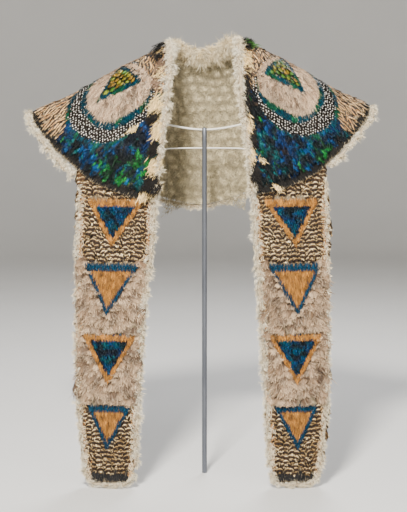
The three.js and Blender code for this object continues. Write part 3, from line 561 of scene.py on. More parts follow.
def hair_coat(name, chart, marks, heading, length, width, material, slot, nodes, tints, random,
              rise, base, bend=0.1, mark=0.8):
    """A field of hair-like feathers: slim ribbons laid along the heading, lifting to their tips
    over a flat base, each bent a little to one side."""
    count = len(marks)
    length = (length * random.uniform(0.7, 1.2, count))[:, None]
    side = random.normal(0, bend, count)[:, None]
    s = np.array([0, 0.4, 0.75, 1.0])
    along, across = (s - mark) * length, side * s ** 2 * length
    da, db = heading[:, :1], heading[:, 1:]
    a, b = marks[:, :1] + along * da - across * db, marks[:, 1:] + along * db + across * da
    lift = rise * random.uniform(0.35, 1.25, count)[:, None]
    height = GROUND + np.reshape(base, (-1, 1)) + lift * s ** 1.3
    paths = chart(a, b, height)
    lie = unit(chart(a[:, 1], b[:, 1], height[:, 1] + 1) - paths[:, 1])
    widths = width * random.uniform(0.6, 1.3, count)
    points, faces = ribbons(paths, widths, lie + random.normal(0, 0.35, (count, 3)))
    loops, totals = joined(points.reshape(-1, 3), faces, count)
    place = np.array([0, 0.4, 0.4, 0.75, 0.75, 1.0])
    out = np.zeros((count, 1)) + np.array([0, -1, 1, -0.8, 0.8, 0]) * width / 2
    uv = np.stack([out, (1 - place) * length], axis=-1)
    tint = np.repeat(tints[:, None], 6, axis=1)
    chance = np.repeat(random.random(count)[:, None], 6, axis=1)
    return mesh_piece(name, points, loops, totals, material, slot, nodes, uv, tint, chance, closed=False)


def fans(name, chart, marks, heading, length, material, slot, tints, random, base, rise):
    """Fine barbs over each petal: eleven ribbons that fan out from its middle to its rim."""
    each = 11
    spread = np.tile(np.linspace(-0.5, 0.5, each), len(marks))
    spread = spread + random.normal(0, 0.08, each * len(marks))
    size = np.broadcast_to(np.asarray(length, float), (len(marks),))
    roots = marks - heading * (size * 0.66)[:, None]
    pale = np.repeat(tints, each, axis=0) * random.uniform(0.9, 2.4, (each * len(marks), 1))
    headings = turned(np.repeat(heading, each, axis=0), spread)
    roots, size = np.repeat(roots, each, axis=0), np.repeat(size * 0.78, each)
    return hair_coat(name, chart, roots, headings, size, 1.0, material, slot, [], pale, random,
                     rise=rise * 0.75, base=base + rise * 0.42 + 1.2, bend=0.14, mark=0.0)


def lay_field(field, chart, marks, headings, size, form, material, slot, tints, random, rise, base,
              roll=0.2, mark=0.88, full=3, on_cloth=False):
    """One field of feathers: slim ones as ribbons, firm ones as blades, and soft ones as petals with
    a fan of loose barbs over each."""
    words = (f"feathers_{field}", chart, marks, headings, *size, material, slot, [field], tints, random,
             rise, base)
    if form == "hair":
        hair_coat(*words)
        return
    soft = form is PETAL
    coat(*words, form, cup=0.2 if soft else 0.16, roll=roll, mark=mark, full=full, on_cloth=on_cloth)
    if soft:
        fans(f"barbs_{field}", chart, marks, headings, size[0], material, slot, tints, random, base, rise)


def lattice(low, high, across, along, random, jitter=0.28):
    """Staggered rows of points over a rectangle, each moved at random by a share of the spacing."""
    a = np.arange(low[0], high[0], across)
    b = np.arange(low[1], high[1], along)
    grid_a, grid_b = np.meshgrid(a, b)
    grid_a = grid_a + across / 2 * (np.arange(len(b)) % 2)[:, None]
    points = np.stack([grid_a.ravel(), grid_b.ravel()], axis=1)
    return points + random.uniform(-jitter, jitter, points.shape) * (across, along)


def turned(heading, angle):
    """The heading turned by an angle for each feather."""
    c, s = np.cos(angle), np.sin(angle)
    return np.stack([heading[:, 0] * c - heading[:, 1] * s, heading[:, 0] * s + heading[:, 1] * c], axis=1)


def blend_colours(colours, weights):
    """Average of the colours, each by its weight."""
    colours, weights = np.asarray(colours, float), np.asarray(weights, float)
    return (weights[..., None] * colours).sum(-2) / weights.sum(-1)[..., None]


def waves(x, y, scale, seed):
    """Smooth unevenness, mostly between -1 and 1: a sum of five sine waves in seeded directions."""
    random = np.random.default_rng(seed)
    total = 0
    for i in range(5):
        angle, phase, stretch = random.uniform(0, 6.28), random.uniform(0, 6.28), random.uniform(0.7, 1.5)
        total = total + np.sin((x * np.cos(angle) + y * np.sin(angle)) * stretch * 6.28 / scale + phase)
    return total / 3.2


# Materials

def new_material(name, roughness=0.8, metallic=0.0, specular=0.3, sheen=0.0, sheen_tint=(1, 1, 1)):
    """A material whose uniform values are set on the shader's own sockets."""
    material = bpy.data.materials.new(name)
    material.use_nodes = True
    tree = material.node_tree
    shader = tree.nodes["Principled BSDF"]
    shader.inputs["Roughness"].default_value = roughness
    shader.inputs["Metallic"].default_value = metallic
    shader.inputs["Specular IOR Level"].default_value = specular
    shader.inputs["Sheen Weight"].default_value = sheen
    shader.inputs["Sheen Roughness"].default_value = 0.5
    shader.inputs["Sheen Tint"].default_value = (*sheen_tint, 1)
    return material, tree, shader


def put(tree, socket, value):
    """Links a socket, or sets its own value."""
    if isinstance(value, bpy.types.NodeSocket):
        tree.links.new(value, socket)
    elif value is not None:
        colour = isinstance(value, tuple) and len(value) == 3 and socket.type == "RGBA"
        socket.default_value = (*value, 1) if colour else value


def calc(tree, operation, a, b=None, c=None):
    """Output of a Math node."""
    node = tree.nodes.new("ShaderNodeMath")
    node.operation = operation
    for socket, value in zip(node.inputs, (a, b, c)):
        put(tree, socket, value)
    return node.outputs[0]


def mix(tree, factor, a, b, blend="MIX"):
    """Colour a, changed towards b by the factor."""
    node = tree.nodes.new("ShaderNodeMix")
    node.data_type, node.blend_type = "RGBA", blend
    put(tree, node.inputs[0], factor)
    put(tree, node.inputs[6], a)
    put(tree, node.inputs[7], b)
    return node.outputs[2]


def product(tree, a, b):
    """One value times the other."""
    return calc(tree, "MULTIPLY", a, b)


def ramp(tree, value, low, high):
    """0 below low and 1 above high, smoothly."""
    node = tree.nodes.new("ShaderNodeMapRange")
    node.interpolation_type = "SMOOTHSTEP"
    put(tree, node.inputs["Value"], value)
    node.inputs["From Min"].default_value, node.inputs["From Max"].default_value = low, high
    return node.outputs["Result"]


def fall(tree, value, low, high):
    """1 below low and 0 above high, smoothly."""
    return calc(tree, "SUBTRACT", 1.0, ramp(tree, value, low, high))


def paint(tree, shader, colour):
    """Leads a colour into the shader."""
    tree.links.new(colour, shader.inputs["Base Color"])


def noise(tree, vector, scale, detail=2.0, roughness=0.5):
    """Soft noise over a pattern space."""
    node = tree.nodes.new("ShaderNodeTexNoise")
    put(tree, node.inputs["Vector"], vector)
    node.inputs["Scale"].default_value = scale
    node.inputs["Detail"].default_value = detail
    node.inputs["Roughness"].default_value = roughness
    return node.outputs["Fac"]


def attribute(tree, name):
    """Node that reads one of the mesh's own attributes."""
    node = tree.nodes.new("ShaderNodeAttribute")
    node.attribute_name = name
    return node


def object_place(tree):
    """Place on the object, in metres."""
    return tree.nodes.new("ShaderNodeTexCoord").outputs["Object"]


def bump(tree, shader, height, strength, distance):
    """Fine relief from a height."""
    node = tree.nodes.new("ShaderNodeBump")
    node.inputs["Strength"].default_value = strength
    node.inputs["Distance"].default_value = distance
    put(tree, node.inputs["Height"], height)
    tree.links.new(node.outputs["Normal"], shader.inputs["Normal"])


def vane(tree):
    """Distances on one feather in millimetres: across it from the shaft, and back from its tip."""
    node = tree.nodes.new("ShaderNodeUVMap")
    node.uv_map = "vane"
    parts = tree.nodes.new("ShaderNodeSeparateXYZ")
    tree.links.new(node.outputs[0], parts.inputs[0])
    return parts.outputs[0], parts.outputs[1], node.outputs[0]


def barbs(tree, across, back):
    """Streaks of a vane: noise stretched along lines that slant back and out from the shaft."""
    out = calc(tree, "ABSOLUTE", across)
    slant = calc(tree, "MULTIPLY_ADD", out, 1.1, back)
    place = tree.nodes.new("ShaderNodeCombineXYZ")
    tree.links.new(product(tree, slant, 1.3), place.inputs[0])
    tree.links.new(product(tree, across, 0.22), place.inputs[1])
    tree.links.new(attribute(tree, "chance").outputs["Fac"], place.inputs[2])
    return ramp(tree, noise(tree, place.outputs[0], 1.0, 3.0, 0.6), 0.32, 0.68)


def feather_material(name, pattern, roughness=0.75, metallic=0.0, specular=0.3, sheen=0.15, relief=0.0006,
                     uneven=0.45, barb=0.55, sheen_tint=(1, 1, 1)):
    """Vane of a feather: its tint, painted by the pattern, uneven from one to the next, darker
    in the lines between its barbs."""
    material, tree, shader = new_material(name, roughness, metallic, specular, sheen, sheen_tint)
    across, back, uv = vane(tree)
    tint = attribute(tree, "tint").outputs["Color"]
    chance = attribute(tree, "chance").outputs["Fac"]
    lines = barbs(tree, across, back)
    colour = pattern(tree, tint, across, back, uv, chance)
    shade = calc(tree, "MULTIPLY_ADD", chance, uneven, 1 - uneven / 2)
    shade = product(tree, shade, calc(tree, "MULTIPLY_ADD", lines, barb, 1 - barb / 1.5))
    grey = tree.nodes.new("ShaderNodeCombineColor")
    for socket in grey.inputs:
        tree.links.new(shade, socket)
    colour = mix(tree, 1.0, colour, grey.outputs[0], "MULTIPLY")
    paint(tree, shader, colour)
    bump(tree, shader, lines, strength=0.8, distance=relief)
    return material


def plain_vane(tree, tint, across, back, uv, chance):
    """Painted shade: darker towards the root, where the next feather lies over it."""
    root_shade = ramp(tree, back, 4.0, 18.0)
    shaded = mix(tree, 1.0, tint, (0.3, 0.28, 0.26), "MULTIPLY")
    return mix(tree, product(tree, root_shade, 0.6), tint, shaded)


def barred_vane(tree, tint, across, back, uv, chance):
    """Thin cream crescents on a dark vane: the distance back plus a share of the width squared,
    cut into equal steps, with a line across each and a warm halo round it."""
    arc = calc(tree, "MULTIPLY_ADD", product(tree, across, across), 0.10, back)
    wobble = noise(tree, uv, 0.25, 1.0)
    arc = calc(tree, "ADD", calc(tree, "MULTIPLY_ADD", wobble, 4.0, arc), product(tree, chance, 1.2))
    phase = calc(tree, "FRACT", calc(tree, "DIVIDE", arc, 8.4))
    near = calc(tree, "ABSOLUTE", calc(tree, "SUBTRACT", phase, 0.42))
    bar = fall(tree, near, 0.075, 0.125)
    halo = fall(tree, near, 0.18, 0.30)
    warm = mix(tree, chance, (0.56, 0.35, 0.13), (0.93, 0.75, 0.44))
    # Painted shade: the dark ground grows darker further back, where the next feather lies over it.
    dark = mix(tree, ramp(tree, back, 5.0, 16.0), (0.030, 0.018, 0.012), (0.012, 0.008, 0.006))
    dark = mix(tree, 0.35, dark, tint)
    dark = mix(tree, product(tree, halo, 0.55), dark, (0.19, 0.095, 0.03))
    return mix(tree, bar, dark, warm)


def spotted_vane(tree, tint, across, back, uv, chance):
    """Round white dots, unevenly spaced, on a dark vane: one round each point of a loose grid."""
    dots = tree.nodes.new("ShaderNodeTexVoronoi")
    dots.voronoi_dimensions, dots.feature = "2D", "F1"
    tree.links.new(uv, dots.inputs["Vector"])
    dots.inputs["Scale"].default_value = 1 / 5.1
    dots.inputs["Randomness"].default_value = 0.5
    dot = fall(tree, dots.outputs["Distance"], 0.155, 0.215)
    return mix(tree, dot, tint, (0.95, 0.93, 0.88))


def side_shaded_vane(tree, tint, across, back, uv, chance):
    """Tan vane with ragged dark brown sides, painted as the shade between neighbouring feathers, and a
    paler tip.
    """
    wobble = noise(tree, uv, 0.35, 2.0)
    out = calc(tree, "ABSOLUTE", across)
    side_shade = ramp(tree, calc(tree, "MULTIPLY_ADD", wobble, 2.8, out), 2.1, 3.1)
    rim = fall(tree, back, 0.8, 2.0)
    colour = mix(tree, side_shade, tint, (0.028, 0.013, 0.006))
    return mix(tree, product(tree, rim, 0.4), colour, (0.90, 0.64, 0.34))


def soft_vane(tree, tint, across, back, uv, chance):
    """Soft vane: paler towards its rim and tip, darker further back, where it lies in shade."""
    out = calc(tree, "ABSOLUTE", across)
    rim = ramp(tree, out, 4.0, 11.0)
    tip = fall(tree, back, 0.0, 5.0)
    pale = calc(tree, "MAXIMUM", rim, tip)
    shaft = fall(tree, out, 0.25, 0.7)
    colour = mix(tree, product(tree, pale, 0.35), tint, (0.78, 0.58, 0.38))
    colour = mix(tree, product(tree, shaft, 0.4), colour, (0.62, 0.50, 0.36))
    # Painted shade: darker further back, where the next feather lies over it.
    root_shade = ramp(tree, back, 3.0, 17.0)
    return mix(tree, product(tree, root_shade, 0.9), colour, (0.11, 0.065, 0.04))


def scale_vane(tree, tint, across, back, uv, chance):
    """Rounded scale: its tint in the middle and a dark rim, and painted shade towards its root, where the
    next scale lies over it.
    """
    out = calc(tree, "ABSOLUTE", across)
    rim = calc(tree, "MAXIMUM", ramp(tree, out, 3.6, 5.2), fall(tree, back, 0.8, 2.4))
    # Painted shade towards the root, where the next scale lies over it.
    root_shade = ramp(tree, back, 7.0, 12.0)
    return mix(tree, calc(tree, "MAXIMUM", rim, root_shade), tint, (0.010, 0.022, 0.012))


def glossy_vane(tree, tint, across, back, uv, chance):
    """Gleaming vane: its tint breaks up into darker patches that drift over the field, and the
    rim is near black."""
    patch = noise(tree, object_place(tree), 62, 3.0, 0.6)
    rim = fall(tree, back, 0.3, 2.2)
    shaded = product(tree, ramp(tree, patch, 0.40, 0.60), 0.93)
    dark = calc(tree, "MAXIMUM", product(tree, rim, 0.75), shaded)
    return mix(tree, dark, tint, (0.006, 0.008, 0.010))


BARRED = feather_material("barred_feather", barred_vane, sheen=0.0)
SPOTTED = feather_material("spotted_feather", spotted_vane, specular=0.1, sheen=0.0, uneven=0.2, barb=0.1)
# The brown field's dark feather sides are painted shade between neighbouring feathers.
BROWN = feather_material("side_shaded_brown_feather", side_shaded_vane)
PALE = feather_material("soft_pale_feather", soft_vane, roughness=0.9, specular=0.15, sheen=0.08, barb=0.75)
SCALES = feather_material("gold_green_scale", scale_vane, roughness=0.35, metallic=0.45, specular=0.5,
                          sheen=0.0)
GLOSSY = feather_material("blue_green_feather", glossy_vane, roughness=0.36, metallic=0.6, specular=0.35,
                          sheen=0.0)
TEAL = feather_material("teal_feather", plain_vane, roughness=0.4, metallic=0.6, specular=0.35, sheen=0.0)
ORANGE = feather_material("golden_orange_feather", plain_vane, roughness=0.7, sheen=0.0, barb=0.7)
BLACK = feather_material("matte_black_feather", plain_vane, roughness=0.8, specular=0.2, sheen=0.0)
TUFTED = feather_material("loose_tuft_feather", plain_vane, roughness=0.8, sheen=0.0)
LINING_FIBRE = feather_material("lining_fibre", plain_vane, roughness=1.0, specular=0.1, sheen=0.1,
                                uneven=0.3, barb=0.3)


def down_material():
    """Loose white down: the tint of each barb, faintly cream and painted darker towards its root and in the
    roll's core as shade, with a soft sheen.
    """
    material, tree, shader = new_material("white_down", roughness=1.0, specular=0.1, sheen=0.2,
                                          sheen_tint=(1, 0.97, 0.92))
    tint = attribute(tree, "tint").outputs["Color"]
    cloud = noise(tree, object_place(tree), 60, 3.0)
    warm = mix(tree, ramp(tree, cloud, 0.35, 0.7), (0.93, 0.87, 0.75), (1.0, 0.99, 0.95))
    paint(tree, shader, mix(tree, 1.0, tint, warm, "MULTIPLY"))
    bump(tree, shader, noise(tree, object_place(tree), 900, 4.0), strength=0.6, distance=0.0012)
    return material


DOWN_WHITE = down_material()


def cloth_material(name, light, dark, scale):
    """Twined plant-fibre cloth: rows of close strands crossed by twining lines, with uneven fibres."""
    material, tree, shader = new_material(name, roughness=0.92, specular=0.2, sheen=0.2)
    place = object_place(tree)
    parts = tree.nodes.new("ShaderNodeSeparateXYZ")
    tree.links.new(place, parts.inputs[0])
    strand = calc(tree, "SINE", product(tree, parts.outputs[0], 6.283 / 0.0022))
    row = calc(tree, "SINE", product(tree, parts.outputs[2], 6.283 / 0.0075))
    weave = calc(tree, "MULTIPLY_ADD", row, 0.3, product(tree, strand, 0.35))
    fibre = noise(tree, place, scale, 4.0, 0.7)
    value = calc(tree, "MULTIPLY_ADD", weave, 0.35, fibre)
    paint(tree, shader, mix(tree, ramp(tree, value, 0.2, 0.85), dark, light))
    bump(tree, shader, weave, strength=0.7, distance=0.0006)
    return material


GROUND_CLOTH = cloth_material("fibre_ground_cloth", (0.42, 0.34, 0.22), (0.20, 0.15, 0.09), 300)


def lining_material():
    """Fuzzy lining: the tint with its painted light on the lumps and painted shade in the hollows, mottled,
    with a finer relief.
    """
    material, tree, shader = new_material("fuzzy_lining", roughness=1.0, specular=0.1, sheen=0.4,
                                          sheen_tint=(1, 0.98, 0.93))
    place = object_place(tree)
    tint = attribute(tree, "tint").outputs["Color"]
    cloud = noise(tree, place, 70, 4.0, 0.65)
    mottled = mix(tree, ramp(tree, cloud, 0.32, 0.68), (0.62, 0.58, 0.50), (1.05, 1.03, 0.98))
    paint(tree, shader, mix(tree, 1.0, tint, mottled, "MULTIPLY"))
    bump(tree, shader, noise(tree, place, 450, 5.0, 0.7), strength=0.8, distance=0.002)
    return material


LINING_FUZZ = lining_material()


def metal_material(name, light, dark, roughness, metallic):
    """Drawn metal: faint upright lines and a slow change of tone."""
    material, tree, shader = new_material(name, roughness, metallic, specular=0.5)
    place = object_place(tree)
    stretch = tree.nodes.new("ShaderNodeMapping")
    tree.links.new(place, stretch.inputs["Vector"])
    stretch.inputs["Scale"].default_value = (900, 900, 12)
    scratch = noise(tree, stretch.outputs[0], 1.0, 4.0)
    slow = noise(tree, place, 7, 2.0)
    value = calc(tree, "MULTIPLY_ADD", scratch, 0.5, product(tree, slow, 0.5))
    paint(tree, shader, mix(tree, ramp(tree, value, 0.3, 0.7), dark, light))
    bump(tree, shader, scratch, strength=0.15, distance=0.0002)
    return material


STEEL = metal_material("blue_grey_steel", (0.17, 0.185, 0.215), (0.10, 0.11, 0.135), 0.40, 0.65)
WHITE_WIRE = metal_material("white_coated_wire", (0.80, 0.78, 0.73), (0.68, 0.66, 0.60), 0.5, 0.0)
ARM_COVER = cloth_material("arm_cover_cloth", (0.72, 0.68, 0.58), (0.55, 0.51, 0.42), 220)


def stage_material():
    """Pale matt floor with a slow cloud of tone."""
    material, tree, shader = new_material("pale_backdrop", roughness=0.9, specular=0.2)
    cloud = noise(tree, object_place(tree), 3, 2.0)
    paint(tree, shader, mix(tree, cloud, (0.60, 0.60, 0.60), (0.64, 0.64, 0.64)))
    return material


# Camera, at the photograph's viewing angle

camera_data = bpy.data.cameras.new("camera")
camera_data.sensor_fit, camera_data.sensor_width = "AUTO", SENSOR
camera_data.lens = SENSOR * FOCAL_LENGTH / IMAGE_HEIGHT
camera_data.shift_x, camera_data.shift_y = -0.001, -0.15
camera = bpy.data.objects.new("camera", camera_data)
camera.location = CAMERA_PLACE
camera.rotation_euler = (math.radians(90 - CAMERA_TILT), 0, 0)
bpy.context.scene.collection.objects.link(camera)
bpy.context.scene.camera = camera


# Cloth: ground, lining and lappets, as thin walls

def grid_faces(rows, columns, shift=0):
    """Quads between neighbouring points of a grid."""
    grid = np.arange(rows * columns).reshape(rows, columns) + shift
    return np.stack([grid[:-1, :-1], grid[:-1, 1:], grid[1:, 1:], grid[1:, :-1]], axis=-1).reshape(-1, 4)


def rim_faces(rows, columns):
    """Quads that join the edge of a grid to the edge of its copy."""
    grid = np.arange(rows * columns).reshape(rows, columns)
    edge = np.r_[grid[0, :-1], grid[:-1, -1], grid[-1, :0:-1], grid[:0:-1, 0]]
    after = np.roll(edge, -1)
    size = rows * columns
    return np.stack([edge, edge + size, after + size, after], axis=-1)


def wall(name, patches, chart, low, high, material, slot, node, tints=None):
    """A closed wall of cloth over each grid of the flat cloth, from low to high above the inner
    face, with coinciding edges of neighbouring grids merged."""
    points, loops, totals, shift = [], [], [], 0
    for a, b in patches:
        rows, columns = a.shape
        heights = [f(a, b) if callable(f) else np.full(a.shape, float(f)) for f in (low, high)]
        here = np.concatenate([chart(a, b, height).reshape(-1, 3) for height in heights])
        quads = np.concatenate([grid_faces(rows, columns)[:, ::-1],
                                grid_faces(rows, columns, rows * columns), rim_faces(rows, columns)])
        points.append(here)
        loops.append((quads + shift).ravel())
        totals.append(np.full(len(quads), 4))
        shift += len(here)
    points = np.concatenate(points)
    tint = None if tints is None else tints(points)
    piece = mesh_piece(name, points, np.concatenate(loops), np.concatenate(totals), material, slot, [node],
                       tint=tint)
    work = bmesh.new()
    work.from_mesh(piece.data)
    bmesh.ops.remove_doubles(work, verts=work.verts, dist=0.00002)
    inner = {}
    for face in work.faces:
        inner.setdefault(frozenset(face.verts), []).append(face)
    twice = [face for group in inner.values() if len(group) > 1 for face in group]
    bmesh.ops.delete(work, geom=twice, context="FACES_ONLY")
    bmesh.ops.dissolve_degenerate(work, edges=work.edges, dist=0.00001)
    work.to_mesh(piece.data)
    work.free()
    piece.data.shade_smooth()
    return piece


ROWS_DOWN = 40
down_steps = np.linspace(0, 1, ROWS_DOWN)[:, None]


def front_patch(sign):
    """Grid of a front: columns from its front edge to the tip, rows from the shoulder line to the
    hem."""
    t = np.sin(np.linspace(0, QUARTER, 36))[None]
    top_x = between(NECK_HALF_WIDTH, HALF_SPAN, t)
    hem = smooth_line(HEM[::-1], 400)
    place = np.linspace(0, 1, 401)
    low_x, low_run = np.interp(t, place, hem[:, 0]), np.interp(t, place, hem[:, 1])
    x = top_x + (low_x - top_x) * down_steps
    run = low_run * down_steps
    straight = NECK_HALF_WIDTH + (HEM[-1][0] - NECK_HALF_WIDTH) * down_steps
    edge_x = np.interp(run[:, :1], front_edge[:, 1], front_edge[:, 0])
    return sign * (x + (edge_x - straight) * (1 - t) ** 4), run


def back_patches():
    """Grids of the back: its two wings under the shoulder lines and the middle under the neck."""
    t = np.sin(np.linspace(0, QUARTER, 36))[None]
    x = between(NECK_HALF_WIDTH, HALF_SPAN, t)
    outline = back_hem_half[back_hem_half[:, 0] >= 0][::-1]
    low = np.interp(x, outline[:, 0], outline[:, 1])
    wing = (x + 0 * down_steps, low * down_steps)
    middle_x = NECK_HALF_WIDTH * np.sin(np.linspace(-QUARTER, QUARTER, 41))[None]
    top = -NECK_DEPTH * np.sqrt(np.clip(1 - (middle_x / NECK_HALF_WIDTH) ** 2, 0, 1))
    bottom = np.interp(np.abs(middle_x), outline[:, 0], outline[:, 1])
    middle = (middle_x + 0 * down_steps, top + (bottom - top) * down_steps)
    return [wing, middle, (-wing[0], wing[1])]


def lump_at(x, z):
    """Soft lumps in rows across, from 0 to 1: a product of two waves, shifted from row to row."""
    row = z / LUMP_ROW + 0.35 * waves(x, z, 90, 3)
    place = x / 3.4 + 2.4 * np.floor(row) + 1.6 * waves(x, z, 60, 4)
    return np.sin(math.pi * row) ** 2 * (0.5 + 0.5 * np.sin(place))


def lumps(x, run):
    """Inner face of the lining, measured from the cloth: lumps that flatten where the arms carry
    it."""
    free = smoothstep(np.abs(run), 14, 34)
    return -GAP - LINING - LUMP_DEPTH * free * lump_at(x, cape_point(x, run)[..., 2])


back = wall("cape_back_cloth", back_patches(), on_cape, 0, GROUND, GROUND_CLOTH, "ground_cloth",
            "cape_back")
for side, sign in SIDES:
    front = wall(f"cape_front_cloth_{side}", [front_patch(sign)], on_cape, 0, GROUND, GROUND_CLOTH,
                 "ground_cloth", f"cape_front_{side}")


def lining_tint_with_painted_lump_shading(points):
    """Paler on the lumps as painted light, browner in the hollows between them as painted shade, with slow
    changes.
    """
    x, z = points[:, 0], points[:, 2]
    # Painted light and shade: the lump height lightens the tint on the lumps and darkens it in the hollows.
    pale = 0.60 + 0.34 * lump_at(x, z) + 0.08 * waves(x, z, 45, 8)
    return np.stack([pale, pale * 0.885, pale * 0.60], axis=1) * 0.72


# Its tint carries painted light on the lumps and painted shade in the hollows.
lining = wall("lining", back_patches() + [front_patch(-1), front_patch(1)], on_cape, lumps, -GAP,
              LINING_FUZZ, "lining", "cape_lining", lining_tint_with_painted_lump_shading)


def lappet_patch(sign):
    """Grid of a lappet: across it, and from inside the cape down to its rounded end, where the
    rows lie close."""
    close = 0.93 + 0.07 * np.sin(np.linspace(0, QUARTER, 14))[1:]
    v = np.concatenate([np.linspace(0, 0.93, 60), close])[:, None]
    u = np.linspace(0, 1, 22)[None]
    middle_top = float(hem_height(sign * 165.0)) + LAPPET_TUCK
    z = middle_top + (LAPPET_END - middle_top) * v + 0 * u
    inner, outer = lappet_edges(z)
    low = np.clip((LAPPET_END + LAPPET_CORNER - z) / LAPPET_CORNER, 0, 1)
    inset = LAPPET_CORNER * (1 - np.sqrt(1 - low ** 2))
    x = inner + inset + (outer - inner - 2 * inset) * u
    top_slope = (hem_height(sign * x) + LAPPET_TUCK - middle_top) * np.clip(1 - v * 5, 0, 1) ** 2
    return sign * x, z + top_slope


for side, sign in SIDES:
    cloth = wall(f"lappet_cloth_{side}", [lappet_patch(sign)], on_lappet, 0, GROUND, GROUND_CLOTH,
                 "ground_cloth", f"lappet_{side}")


# Feather fields of the cape

def shade_of(low, high, random, count):
    """Colours on the line between two, one at random for each feather."""
    t = random.random(count)[:, None]
    return np.array(low) * (1 - t) + np.array(high) * t


def near(marks, x, y, radius):
    """A bell curve round a place: 1 there, and about a third of that a radius away."""
    return np.exp(-((marks[:, 0] - x) ** 2 + (marks[:, 1] - y) ** 2) / radius ** 2)


BLUE, DEEP_BLUE, TEAL_GREEN = (0.002, 0.062, 0.21), (0.002, 0.022, 0.10), (0.002, 0.095, 0.10)
GREEN, NIGHT, BRONZE = (0.012, 0.27, 0.035), (0.003, 0.004, 0.005), (0.05, 0.026, 0.012)
# Places on the cloth where one colour gathers: x, run, radius, colour
GLEAMS = [(-160, 268, 22, GREEN), (-120, 258, 22, GREEN), (-190, 225, 20, GREEN), (-165, 300, 26, BLUE),
          (-215, 205, 30, BLUE), (-240, 190, 22, TEAL_GREEN), (-130, 185, 26, DEEP_BLUE),
          (-105, 215, 24, DEEP_BLUE), (240, 185, 24, GREEN), (225, 160, 22, TEAL_GREEN),
          (150, 205, 32, DEEP_BLUE), (200, 215, 30, BLUE),
          (120, 240, 28, TEAL_GREEN), (105, 180, 26, NIGHT), (165, 255, 26, NIGHT), (-150, 240, 24, NIGHT),
          (-110, 290, 22, NIGHT), (230, 130, 20, BLUE), (135, 285, 24, NIGHT)]


def gleaming(marks, random):
    """Deep blue, teal and near black in drifting patches, with each gathered colour where it lies."""
    x, y = marks.T
    weights = [np.exp(1.6 * waves(x, y, 70, seed)) for seed in (11, 12, 13, 14)]
    weights.append(0.45 + 0 * x)
    weights.append(0.5 + 0 * x)
    colours = [BLUE, DEEP_BLUE, TEAL_GREEN, NIGHT, BRONZE, GREEN]
    for gx, gy, radius, colour in GLEAMS:
        weights.append(7 * near(marks, gx, gy, radius))
        colours.append(colour)
    weights = np.stack(weights, axis=1) ** 1.3
    order = np.cumsum(weights / weights.sum(1, keepdims=True), axis=1)
    picked = np.minimum((order < random.random(len(marks))[:, None]).sum(1), len(colours) - 1)
    own = np.array(colours)[picked] * random.uniform(0.45, 1.5, (len(marks), 1))
    return 0.85 * own + 0.15 * blend_colours(colours, weights)


def down_the_cape(marks):
    """Away from the shoulder line and, further out, more and more towards the tip."""
    lean = 2.4 * np.sign(marks[:, 0]) * (np.abs(marks[:, 0]) / HALF_SPAN) ** 2.2
    return unit(np.stack([lean, np.where(marks[:, 1] >= 0, 1.0, -1.0)], axis=1))


def around_ornament(marks):
    """Away from the head of the shoulder ornament."""
    x, run = marks.T
    sideways = (x - np.where(x > 0, ORNAMENT_HEAD_X, -ORNAMENT_HEAD_X)) * 0.9
    return unit(np.stack([sideways, run + np.where(run >= 0, 25, -25)], axis=1))


def to_hem(marks):
    """Across the black band, off the cloth."""
    x, y = marks.T
    right, left = distance_to(x + 1, y, hem_line), distance_to(x - 1, y, hem_line)
    ahead, behind = distance_to(x, y + 1, hem_line), distance_to(x, y - 1, hem_line)
    return -unit(np.stack([right - left, ahead - behind], axis=1) + 1e-6)


# field: across, along, length, width, form, heading, material, slot, base, rise, jitter angle
CAPE_COATS = {
    "brown_field": (7.2, 10.0, 23, 9.5, SMALL_BLADE, down_the_cape, BROWN, "brown_feather", 0.3, 2.8, 0.34),
    "breast_field": (7.5, 8.0, 24, 13, FULL_BLADE, down_the_cape, GLOSSY, "blue_green_feather", 0.3, 3.4,
                     0.45),
    "breast_field_back": (10, 10, 28, 16, FULL_BLADE, down_the_cape, GLOSSY, "blue_green_feather", 0.3, 3.2,
                          0.35),
    "scale_triangle": (9.5, 8.6, 15, 12.5, SMALL_BLADE, down_the_cape, SCALES, "gold_green_feather", 2.6,
                       2.2, 0.15),
    "triangle_border": (1.4, 2.2, 11, 1.6, "hair", down_the_cape, TEAL, "teal_feather", 2.8, 2.0, 0.3),
    "pale_oval": (8.0, 9, 26, 15, PETAL, around_ornament, PALE, "pale_feather", 0.3, 3.0, 0.22),
    "teal_crescent": (1.3, 2.0, 10, 1.7, "hair", around_ornament, TEAL, "teal_feather", 1.6, 3.4, 0.25),
    "spotted_crescent": (9.0, 8.0, 21, 14.5, SMALL_BLADE, around_ornament, SPOTTED, "spotted_feather", 0.3,
                         2.3, 0.18),
    "outer_crescent": (1.4, 2.0, 11, 1.7, "hair", around_ornament, TEAL, "teal_feather", 1.2, 3.2, 0.25),
    "hem_band": (1.9, 2.6, 11, 1.9, "hair", to_hem, BLACK, "black_feather", 0.3, 2.0, 0.25),
}
# Share of a feather's length that lies on its mark, where it isn't 0.88
CAPE_MARKS = {"pale_oval": 1.05, "spotted_crescent": 1.0}


